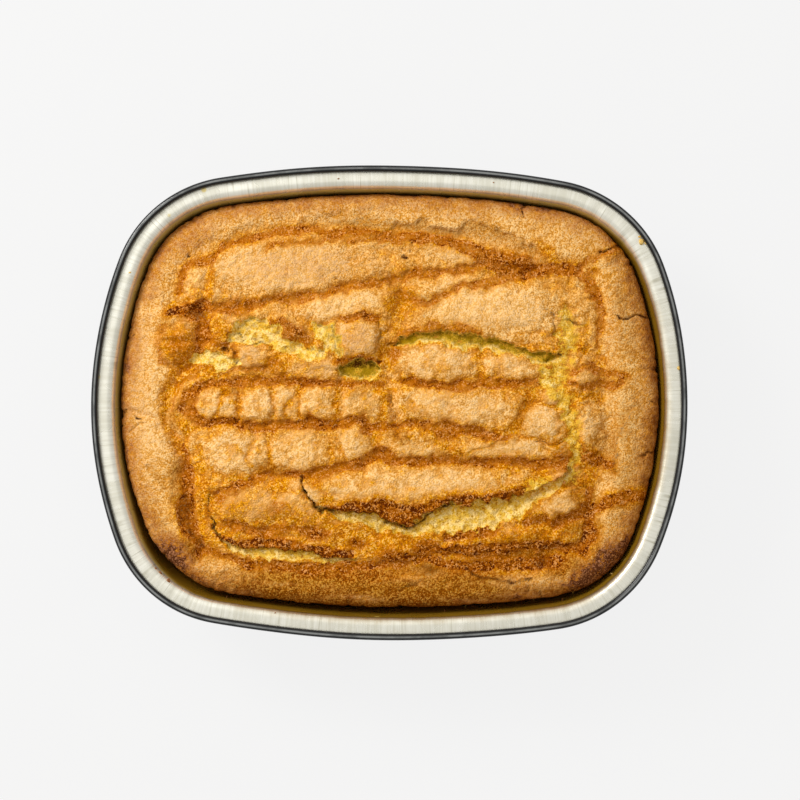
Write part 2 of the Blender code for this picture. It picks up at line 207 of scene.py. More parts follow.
def near_path(points: Points, x: Array, y: Array, reach: float) -> Near:
    """Measure places against a smooth path.

    Args:
        points: x, y and half-width of the path's points.
        x: Places.
        y: Places.
        reach: How far round the path places are looked at.

    Returns:
        The places near the path, with side +1 on the left of its run.
    """
    path = smooth_path(points)
    low = path[:, :2].min(axis=0) - reach
    high = path[:, :2].max(axis=0) + reach
    index = np.flatnonzero((x > low[0]) & (x < high[0]) & (y > low[1]) & (y < high[1]))
    px = x[index]
    py = y[index]
    best = np.full(px.shape, FAR)
    half = np.ones(px.shape)
    side = np.ones(px.shape)
    toward_x = np.zeros(px.shape)
    toward_y = np.zeros(px.shape)
    for start, end in zip(path, path[1:]):
        run = end[:2] - start[:2]
        along = (px - start[0]) * run[0] + (py - start[1]) * run[1]
        part = np.clip(along / max(run @ run, TINY), 0, 1)
        off_x = px - start[0] - part * run[0]
        off_y = py - start[1] - part * run[1]
        distance = np.hypot(off_x, off_y)
        closer = distance < best
        best = np.where(closer, distance, best)
        half = np.where(closer, start[2] + part * (end[2] - start[2]), half)
        side = np.where(closer, np.sign(run[0] * off_y - run[1] * off_x), side)
        toward_x = np.where(closer, -off_x, toward_x)
        toward_y = np.where(closer, -off_y, toward_y)
    length = np.maximum(best, LEAST_LENGTH)
    return Near(index, best, np.maximum(half, LEAST_HALF), side, toward_x / length, toward_y / length)


def new_grid(name: str, columns: int, rows: int) -> Thing:
    """Add a flat unit grid as a new object, alone selected and active.

    Args:
        name: The piece's name.
        columns: Cells along X.
        rows: Cells along Y.

    Returns:
        The new object.
    """
    bpy.ops.object.select_all(action="DESELECT")
    bpy.ops.mesh.primitive_grid_add(
        x_subdivisions=columns, y_subdivisions=rows, size=1.0, calc_uvs=True, location=(0.0, 0.0, 0.0)
    )
    thing = bpy.context.active_object
    thing.name = name
    thing.data.name = name
    return thing


def read_vertices(thing: Thing) -> Array:
    """Where a mesh's vertices stand, in metres."""
    places = np.empty(len(thing.data.vertices) * 3)
    thing.data.vertices.foreach_get("co", places)
    return places.reshape(-1, 3)


def write_vertices(thing: Thing, places: Array) -> None:
    """Move a mesh's vertices to places in metres."""
    thing.data.vertices.foreach_set("co", places.astype(np.float32).ravel())
    thing.data.update()


def grid_cells(thing: Thing, columns: int, rows: int) -> tuple[Array, Array]:
    """Which column and row of a unit grid each vertex stands on."""
    places = read_vertices(thing)
    column = np.rint((places[:, 0] + 0.5) * columns).astype(int)
    row = np.rint((places[:, 1] + 0.5) * rows).astype(int)
    return column, row


def store_mask(thing: Thing, name: str, values: Array) -> None:
    """Keep one number for each vertex, for the piece's material to read."""
    attribute = thing.data.attributes.new(name, "FLOAT", "POINT")
    attribute.data.foreach_set("value", values.astype(np.float32))


def close_flat_hole(thing: Thing) -> None:
    """Fill the lowest open loop of a mesh with one flat face, and turn all faces outwards."""
    data = thing.data
    bpy.ops.object.mode_set(mode="EDIT")
    bpy.ops.mesh.select_mode(type="EDGE")
    bpy.ops.mesh.select_all(action="DESELECT")
    bpy.ops.object.mode_set(mode="OBJECT")
    heights = read_vertices(thing)[:, 2]
    ends = np.empty(len(data.edges) * 2, int)
    data.edges.foreach_get("vertices", ends)
    ends = ends.reshape(-1, 2)
    uses = np.zeros(len(data.edges), int)
    loops = np.empty(len(data.loops), int)
    data.loops.foreach_get("edge_index", loops)
    np.add.at(uses, loops, 1)
    lowest = heights[ends[uses == 1]].min()
    open_low = (uses == 1) & (heights[ends].max(axis=1) < lowest + LEVEL_SLACK * MM)
    data.edges.foreach_set("select", open_low)
    bpy.ops.object.mode_set(mode="EDIT")
    bpy.ops.mesh.edge_face_add()
    bpy.ops.mesh.select_all(action="SELECT")
    bpy.ops.mesh.normals_make_consistent(inside=False)
    bpy.ops.mesh.select_all(action="DESELECT")
    bpy.ops.object.mode_set(mode="OBJECT")


# Relief and stains of the loaf's top


class Mask(Enum):
    """What a place on the loaf is covered with, or how much painted shade lies on it; each is kept as a
    number from 0 to 1 at every vertex.
    """

    SYRUP = "syrup"
    AMBER = "amber"
    CRUMB = "crumb"
    TOAST = "toast"
    PALE = "pale"
    # These last three masks are painted shade: thin dark lines, broad shade on slopes that face away from the
    # light, and shade in the crumb under a lip.
    SHADE = "shade"
    BROAD_SHADE = "deep"
    GLOOM = "gloom"


@dataclass
class TopField:
    """The loaf's top while it is shaped: ragged places as seen, relief, sideways shifts and masks.

    The distances out to the nearest and the next plate tell where two plates meet.
    """

    x: Array
    y: Array
    relief: Array
    shift_x: Array
    shift_y: Array
    cover: Array
    nearest: Array
    next_nearest: Array
    masks: dict[Mask, Array]

    def near(self, points: Points, reach: float) -> Near:
        """The places near a path."""
        return near_path(points, self.x, self.y, reach)

    def rough(self, noise: Roughness, near: Near) -> Array:
        """Values of a noise at the places near a path."""
        return noise.at(self.x[near.index], self.y[near.index])

    def stain(self, mask: Mask, near: Near, amount: Array) -> None:
        """Lay a mask near a path, where it is stronger than what is there; masks hold stains and painted
        shade.
        """
        self.masks[mask][near.index] = np.maximum(self.masks[mask][near.index], amount)

    def cover_all(self, mask: Mask, amount: Array) -> None:
        """Lay a mask everywhere, where it is stronger than what is there; masks hold stains and painted
        shade.
        """
        self.masks[mask] = np.maximum(self.masks[mask], amount)


@dataclass(frozen=True)
class Tear:
    """A gap in the crust whose floor of crumb slopes down towards a raised, overhanging lip, with painted
    shade on the floor under the lip.
    """

    points: Points
    depth: float
    lip: float
    overhang: float
    bank_start: float = 0.75
    bank_width: float = 0.5
    floor_tilt: float = 0.25
    gloom_reach: float = 0.2
    gloom_width: float = 1.1
    gloom: float = 0.4
    bare: float = 1.0
    bare_start: float = 0.12
    bare_width: float = 0.5
    lip_shade: float = 0.6
    lip_shade_reach: float = 0.15
    lip_shade_width: float = 0.8
    ragged: float = 0.35
    edge: Roughness = Roughness(3.2, 621, 2)
    lip_reach: float = 5.0
    reach: float = 18.0
    amber: float = 0.75
    amber_reach: float = 2.2

    def shape(self, top: TopField) -> None:
        """Sink the gap, raise its lip and push it over the gap, lay bare the crumb, and paint shade under the
        lip.
        """
        near = top.near(self.points, self.reach)
        across = near.distance / near.half * (1.0 + self.ragged * top.rough(self.edge, near))
        slope = 1.0 - self.floor_tilt + self.floor_tilt * np.clip(near.side * across, -1.0, 1.0)
        gap = 1.0 - ease((across - self.bank_start) / self.bank_width)
        beyond = np.maximum(near.distance - near.half, 0.0)
        behind = (1.0 - gap) * (near.side > 0.0)
        top.relief[near.index] += self.lip * np.exp(-beyond / self.lip_reach) * behind
        top.relief[near.index] -= self.depth * slope * gap
        push = self.overhang * behind * np.exp(-beyond / self.lip_reach)
        top.shift_x[near.index] += push * near.toward_x
        top.shift_y[near.index] += push * near.toward_y
        # Painted shade under the lip: there the crumb gives way to the darker edge colour, and the gloom mask
        # darkens the floor.
        under_lip = ease((near.side * across + self.lip_shade_reach) / self.lip_shade_width)
        crumb = self.bare * ease((gap - self.bare_start) / self.bare_width) * (1.0 - self.lip_shade * under_lip)
        top.stain(Mask.CRUMB, near, crumb)
        under = ease((near.side * across + self.gloom_reach) / self.gloom_width) * gap
        top.stain(Mask.GLOOM, near, self.gloom * under)
        front = (near.side < 0.0) * (1.0 - gap) * np.exp(-beyond / self.amber_reach)
        top.stain(Mask.AMBER, near, self.amber * front)


@dataclass(frozen=True)
class Fold:
    """A soft valley between plates."""

    depth: float
    points: Points
    reach: float = 12.0

    def shape(self, top: TopField) -> None:
        """Sink the valley."""
        near = top.near(self.points, self.reach)
        top.relief[near.index] -= self.depth * np.exp(-((near.distance / near.half) ** 2))


@dataclass(frozen=True)
class Ledge:
    """A step in the crust, higher on the left of its run, with painted shade at its foot and a strip of
    painted shade below it.
    """

    rise: float
    dark: float
    brown: float
    # brown is the strength of the strip of painted shade below the step; dark is that of the painted shade at
    # its foot.
    strip: float
    points: Points
    reach: float = 16.0
    fall: float = 5.0
    foot_off: float = 0.6

    def shape(self, top: TopField) -> None:
        """Raise one side of the line, and paint shade at the foot of the step and on the strip below it."""
        near = top.near(self.points, self.reach)
        signed = near.distance * near.side
        step = ease(signed / near.half * 0.5 + 0.5)
        fade = np.exp(-near.distance / self.fall)
        top.relief[near.index] += self.rise * (step - 0.5) * 2.0 * fade
        # Painted shade at the foot of the step, and in a strip on its lower side.
        foot = np.exp(-(((signed + self.foot_off * near.half) / near.half) ** 2))
        top.stain(Mask.SHADE, near, self.dark * foot)
        below = ease(-signed * math.copysign(1.0, self.rise) / near.half + 0.5)
        top.stain(Mask.BROAD_SHADE, near, self.brown * (below * np.exp(-near.distance / self.strip)))


@dataclass(frozen=True)
class Mound:
    """A low plate or lump with a flattened top."""

    x: float
    y: float
    length: float
    width: float
    height: float
    turn: float = 0.0
    flatness: float = 2.0
    cover_size: float = 0.84
    cover_flatness: float = 3.0

    def across(self, top: TopField) -> Array:
        """How far out every place is, 1 at the mound's side."""
        turn = math.radians(self.turn)
        off_x = top.x - self.x
        off_y = top.y - self.y
        along = (off_x * math.cos(turn) + off_y * math.sin(turn)) / self.length
        aside = (off_y * math.cos(turn) - off_x * math.sin(turn)) / self.width
        return along**2 + aside**2

    def shape(self, top: TopField) -> None:
        """Raise the mound, and keep the glaze off it."""
        across = self.across(top)
        top.relief += self.height * np.exp(-(across**self.flatness))
        cover = np.exp(-((self.cover_size * across) ** self.cover_flatness))
        np.maximum(top.cover, cover, out=top.cover)
        out = (np.sqrt(across) - 1.0) * min(self.length, self.width)
        top.next_nearest = np.minimum(top.next_nearest, np.maximum(top.nearest, out))
        top.nearest = np.minimum(top.nearest, out)


@dataclass(frozen=True)
class SyrupLine:
    """A line of dark baked syrup: granular, a little sunken, with an amber edge."""

    strength: float
    points: Points
    spread: float = 1.6
    groove: float = 0.25
    reach: float = 7.0
    core_start: float = 0.25
    core_width: float = 0.85
    core_share: float = 0.75
    bead_share: float = 0.5
    bead_at: float = 0.62
    bead_width: float = 0.22
    patches: Roughness = Roughness(6.0, 601, 2)
    patchy: float = 0.34
    halo: float = 0.85
    halo_spread: float = 1.2
    halo_least: float = 0.9
    grains: Roughness = Roughness(2.4, 611, 2)
    grit: float = 0.26

    def shape(self, top: TopField) -> None:
        """Stain the line and roughen it."""
        near = top.near(self.points, self.reach)
        half = self.spread * near.half
        across = near.distance / half
        core = 1.0 - ease((across - self.core_start) / self.core_width)
        beads = self.bead_share * np.exp(-(((across - self.bead_at) / self.bead_width) ** 2))
        patchy = 1.0 + self.patchy * top.rough(self.patches, near)
        top.stain(Mask.SYRUP, near, self.strength * (self.core_share * core + beads) * patchy)
        halo = np.exp(-((near.distance / (self.halo_spread * half + self.halo_least)) ** 2))
        top.stain(Mask.AMBER, near, self.halo * self.strength * halo)
        top.relief[near.index] += core * (self.grit * top.rough(self.grains, near) - self.groove)


@dataclass(frozen=True)
class Crack:
    """A thin split in the crust, with painted shade in it."""

    depth: float
    dark: float
    points: Points
    reach: float = 4.0

    def shape(self, top: TopField) -> None:
        """Sink the split and paint shade into it."""
        near = top.near(self.points, self.reach)
        core = np.exp(-((near.distance / near.half) ** 2))
        top.relief[near.index] -= self.depth * core
        top.stain(Mask.SHADE, near, self.dark * core)


@dataclass(frozen=True)
class Stain:
    """An oval patch of one mask, with an uneven edge; masks hold coverings and painted shade."""

    mask: Mask
    x: float
    y: float
    length: float
    width: float
    strength: float
    turn: float = 0.0
    flatness: float = 1.3

    def shape(self, top: TopField) -> None:
        """Lay the patch."""
        oval = Mound(self.x, self.y, self.length, self.width, 1.0, self.turn)
        top.cover_all(self.mask, self.strength * np.exp(-(oval.across(top) ** self.flatness)))


@dataclass(frozen=True)
class Band:
    """A soft band of one mask along a path; masks hold coverings and painted shade."""

    mask: Mask
    strength: float
    points: Points
    reach: float = 12.0
    patches: Roughness = Roughness(3.0, 641, 2)
    patchy: float = 0.25

    def shape(self, top: TopField) -> None:
        """Lay the band."""
        near = top.near(self.points, self.reach)
        uneven = 1.0 + self.patchy * top.rough(self.patches, near)
        top.stain(self.mask, near, self.strength * uneven * np.exp(-((near.distance / near.half) ** 2)))


# Where each feature of the top lies. A path's points are x, y and half-width. An oval's numbers are x, y,
# length, width, its height or strength, and its turn in degrees where it is turned.

TEARS = (
    Tear(
        ((2, 22.2, 0.8), (8, 23.6, 1.7), (14, 24.3, 2.2), (20, 24.5, 2.6), (27, 22.9, 2.7), (34, 23, 2.4),
         (41, 21.6, 2.4), (48, 19.8, 1.8), (55, 17.4, 2.2), (61, 17.6, 1.5)),
        depth=2.1, lip=1, overhang=0.5, gloom_reach=1.2, gloom=0.8, lip_shade=0.1,
    ),
    Tear(
        ((-58, 23, 2), (-51.5, 26, 4.4), (-45, 24.5, 3.6), (-39, 20.6, 2.6), (-32, 18, 2.2),
         (-26, 17.6, 1.6)),
        depth=1.3, lip=0.5, overhang=0.1, gloom=0.3, lip_shade=0.15,
    ),
    Tear(
        ((-28, 29, 1), (-25, 26.5, 2.6), (-21.5, 22.5, 3.2), (-18.4, 18.6, 1.6)),
        depth=1.2, lip=0.4, overhang=0.1, gloom=0.6, lip_shade=0.2,
    ),
    Tear(
        ((-74, 14.6, 1), (-68, 15.8, 2.2), (-62, 14, 2.7), (-57, 14.2, 1.4)),
        depth=1, lip=0.4, overhang=0.1, gloom=0.2, lip_shade=0.2,
    ),
    Tear(
        ((-18, 12, 1.2), (-14, 11.8, 3), (-9, 11.5, 3.2), (-4.5, 12.2, 1.5)),
        depth=2.6, lip=0.8, overhang=0.6, gloom_reach=1.4, gloom=0.85, lip_shade=0,
    ),
    Tear(
        ((65.5, 36, 1.2), (67, 30, 3), (67, 22, 3.9), (64.5, 15, 4.6), (63.5, 7, 3.4), (66.5, 0, 2.9),
         (69, -6, 3.2), (69.6, -13, 2.6), (70, -18, 1.8), (69, -24, 2.4), (67, -29, 1.8)),
        depth=1.1, lip=0.3, overhang=0.1, bank_start=0.45, bank_width=1.1, ragged=0.6, gloom_reach=0.6,
        gloom=0.3, bare=0.48,
    ),
    Tear(
        ((-31, -32, 0.5), (-27, -38, 0.7), (-21, -41, 1.2), (-14, -42.6, 2.1), (-6, -43.6, 2.6),
         (1, -46, 1.9), (9, -47.6, 2), (15, -45, 3.6), (23, -42.4, 4.9), (32, -41.3, 4.9), (42, -40, 4.3),
         (50, -36.6, 3.2), (57, -33, 2.2), (63, -29, 1.5), (67, -24.5, 0.9)),
        depth=3, lip=1.4, overhang=1.2, gloom=0.25, lip_shade=0.5,
    ),
    Tear(
        ((-65, -44, 0.5), (-61, -51.5, 0.7), (-54, -55.6, 1.2), (-45, -57, 1.9), (-36, -57.2, 2.1),
         (-28, -57.9, 1.8), (-20, -58.9, 1.3), (-12, -58.6, 0.8)),
        depth=2.2, lip=0.8, overhang=1,
    ),
)

FOLDS = tuple(Fold(depth, tuple(points)) for depth, *points in (
    (1.7, (-80, 36, 4), (-78, 47, 4), (-68, 57, 4), (-52, 62, 4), (-34, 65, 4), (-14, 65.5, 3.5),
     (4, 64.5, 3), (20, 63, 3), (36, 61.5, 3.5), (48, 58, 3.5), (58, 53.5, 3.5), (69, 51, 3), (76, 45, 3.5),
     (79, 35, 4), (78, 23, 4), (79, 10, 4)),
    (1.9, (-72, 33, 3), (-70, 26, 3), (-73, 16, 3), (-79, 8, 2.5), (-82.5, -1, 2.5), (-82, -8, 2.5),
     (-79.5, -14, 3), (-76, -22, 3.5), (-74, -32, 4), (-74, -42, 4.5), (-70.5, -51, 4), (-69, -57, 3)),
    (1.9, (-69, -57, 4), (-56, -60.6, 4), (-40, -62.4, 4), (-20, -62.6, 4), (0, -61.8, 4), (20, -61.6, 4),
     (40, -61.6, 4), (55, -59.8, 4), (66, -55.5, 4), (74, -48, 4), (77, -38, 4), (79, -26, 4), (82, -12, 4),
     (80, 4, 4)),
    (1, (-70, 36, 2), (-57, 33.6, 2), (-43, 37.4, 2), (-25, 39.6, 2), (-12, 43.4, 2), (0, 45.4, 2),
     (15, 48, 2), (34, 50.8, 2), (54, 49.6, 2)),
    (0.9, (12, 35.8, 2), (20, 40, 2), (27, 43.5, 2), (40, 45.5, 2), (52, 49, 2)),
    (1.9, (0, 46, 2), (6, 40, 3.2), (4.5, 32, 3.4), (1.5, 24, 3.2), (0, 16, 3.2), (0, 9, 2.6),
     (0.6, 3, 1.2), (2.5, -3, 1.6), (3, -9, 2)),
    (0.6, (-72, 3, 2), (-62, 6.2, 2), (-45, 7, 1.8), (-28, 6.8, 1.8), (-10, 6.6, 1.8), (6, 7.2, 1.6),
     (24, 6.4, 1.8), (42, 7, 1.8), (57, 8.4, 2)),
    (0.7, (-76, -3, 2), (-69, -8.2, 2), (-50, -10.2, 2), (-30, -9.1, 2), (-13, -8, 2), (8, -8.2, 2),
     (24, -9.4, 2), (34, -11, 2), (45, -12, 2), (50, -5, 2), (50, 5, 1.6)),
    (1, (-49, -28, 2), (-28, -27, 2), (-10, -23.6, 2), (-2, -19.6, 2), (12, -22, 2), (38, -22, 2),
     (57, -21.8, 2), (68, -20, 2.4)),
    (1, (-64, -35, 2), (-66, -42, 2), (-60, -46.5, 1.8), (-52, -48, 1.8), (-44, -49, 1.6)),
    (0.9, (22, -50, 2), (34, -47.2, 2), (50, -45, 2), (63, -44, 2), (72, -40.5, 2.4)),
    (1.2, (10, -57, 2), (24, -57, 2), (38, -56.8, 2), (54, -56.4, 2), (64, -54, 2.4)),
    (1.1, (-17, 15, 1), (-17.4, 7, 1), (-17, -1, 1), (-18, -8, 1), (-18.6, -16, 1), (-15, -24, 1)),
    (1.1, (-58, 6, 1.2), (-55.4, 1, 1.1), (-55, -4, 1), (-56, -8, 1)),
    (0.8, (-43, 5, 1), (-42.6, -2, 1), (-43.5, -8, 1)),
    (0.8, (-31, 5, 0.9), (-36, 0, 1.2), (-38, -5, 1.4), (-37, -9, 1)),
    (0.7, (-51, -9, 1.2), (-50, -15, 1.2), (-52, -21, 1.2), (-49, -27, 1)),
    (0.8, (-6, -9, 1.2), (-5, -15, 1.2), (-1, -20, 1.2)),
    (0.5, (20, 2, 1.4), (24, -3, 1.4), (23, -9, 1.2)),
    (0.7, (30, 20, 1.2), (31, 14, 1.2), (35, 9, 1.2)),
    (0.9, (-98, -4, 0.8), (-91, -6, 1.1), (-84, -10.5, 1.3), (-78, -17, 1.5), (-75.5, -26, 1.7)),
    (0.5, (42, 6, 1), (41, 12, 1), (40, 17, 1)),
))

# Each ledge: rise, painted shade at its foot, painted shade on the strip below, the strip's reach, then the
# path's points.
LEDGES = tuple(Ledge(rise, dark, brown, strip, tuple(points)) for rise, dark, brown, strip, *points in (
    (0.6, 0.2, 0.5, 6, (1, 66, 0.7), (3, 67.2, 0.8), (7, 66.5, 0.8), (12, 68.2, 0.9), (17, 66, 0.8),
     (20, 65, 0.8), (25, 65, 0.9), (28, 67, 1), (33, 67, 1.1), (38, 65, 1), (43, 63.5, 0.9),
     (47, 61.5, 0.8), (52, 59, 0.8), (57, 56, 0.8), (59, 53.5, 0.7)),
    (0.3, 0.08, 0.3, 5, (-60, 61, 1.4), (-55, 65, 1.5), (-48, 65.4, 1.4), (-40, 65.5, 1.4),
     (-24, 69.5, 1.4), (-10, 72, 1.5)),
    (-0.5, 0.7, 0.3, 4, (29, -61, 0.6), (34, -63.3, 0.8), (41, -65, 0.9), (44, -66.3, 0.9),
     (49, -65.5, 0.8), (54, -63.8, 0.6)),
    (-0.6, 0.5, 0.6, 4, (84, -25, 0.8), (84, -17, 0.8), (85, -12, 0.8), (87, -7, 0.8), (89, -3, 0.7)),
    (-0.45, 0.1, 0.5, 4, (-88, -28, 1.5), (-84, -33, 1.8), (-79, -41, 1.8), (-75, -49, 1.5)),
    (-0.35, 0.35, 0.5, 4, (12, 30, 0.8), (13, 37, 0.9), (10, 40, 0.9), (5, 41, 0.7), (0, 45, 0.6)),
    (0.3, 0.12, 0.5, 4, (39, -15.4, 0.7), (46, -13.2, 0.8), (49.6, -8, 0.9), (50, 0, 0.9), (50, 5, 0.7)),
))

MOUNDS = tuple(Mound(*numbers) for numbers in (
    (-78, 21, 7.5, 6.5, 2.6, 10), (-85, 29.5, 4.5, 4, 1.4), (-74, 44, 5, 8, 1.2), (-62, 27, 6, 6, 1.2),
    (-51.5, 16, 6, 5.2, 2), (-38, 27.5, 7, 4, 1.5, -35), (-12, 23.6, 8, 7.6, 2.8), (-28, 13, 8, 5, 1.2),
    (-40, 50, 26, 10, 1.1, 4), (-18, 36, 15, 5.5, 1.2, 8), (30, 55.5, 20, 4.5, 1, -12),
    (36, 35.5, 25, 9.5, 1.3, -3), (19, 15, 13, 6.6, 1.5), (45, 14, 9.5, 5, 1, -12), (72, 10, 5.5, 3, 1.1),
    (-67, -2, 5.8, 5.2, 1.5), (-60, -3, 3.6, 4.4, 0.8), (-49, -2, 6.2, 6, 1.5), (-38, -1, 5, 6, 1.1),
    (-27, -1, 6.2, 6.2, 1.4), (-11, -1, 7, 6, 1.4), (25, -1.4, 22, 6.6, 1.5, -4), (57, -7, 7, 6.2, 1.4),
    (-56, -19, 12, 8, 1.1), (-33, -18, 10, 8, 1), (-13, -16, 6.5, 7, 1.3, 20), (10, -18, 8, 3.2, 1.2, -10),
    (44, -17, 14, 4, 0.9), (8, -31, 36, 6.6, 1.3, 3), (-50, -39, 12, 6, 1.2), (-34, -40, 9, 6, 1.2, -20),
    (46.5, -50, 8.5, 4.2, 1.3, 8), (64.5, -37.5, 7.4, 4.6, 1.6, 10), (64, -27, 3.2, 2.4, 1.4, 10),
    (68, -47.5, 6, 3.6, 1, 25), (-88, -24, 9, 12, 0.5), (82, 56, 4.5, 2.4, 1, 35), (84, 38, 6, 14, 0.5),
    (-72.5, 35.8, 2.6, 1.6, 1.1, 35), (50, 53.5, 8, 2.4, 0.9, -8), (-38, 21.5, 2.4, 2, 1),
    (-66.5, 39, 2.4, 3.4, 0.8), (-22, 26.5, 3.2, 2.2, 0.9), (34, -53, 5, 2.2, 0.7),
    (-24, -52, 6, 3, 0.7, 10), (6, -56, 7, 3, 0.7), (60, 2.5, 3.5, 3, 0.9), (74, -8, 4, 4.6, 0.8),
    (-82, 24, 3, 3, 1), (-76, 25, 3.2, 2.8, 1.1), (-74.5, 18, 2.8, 3, 0.9), (-80.5, 16, 3, 3, 1),
    (-29, -33.5, 8, 3.4, 0.6, -10),
))

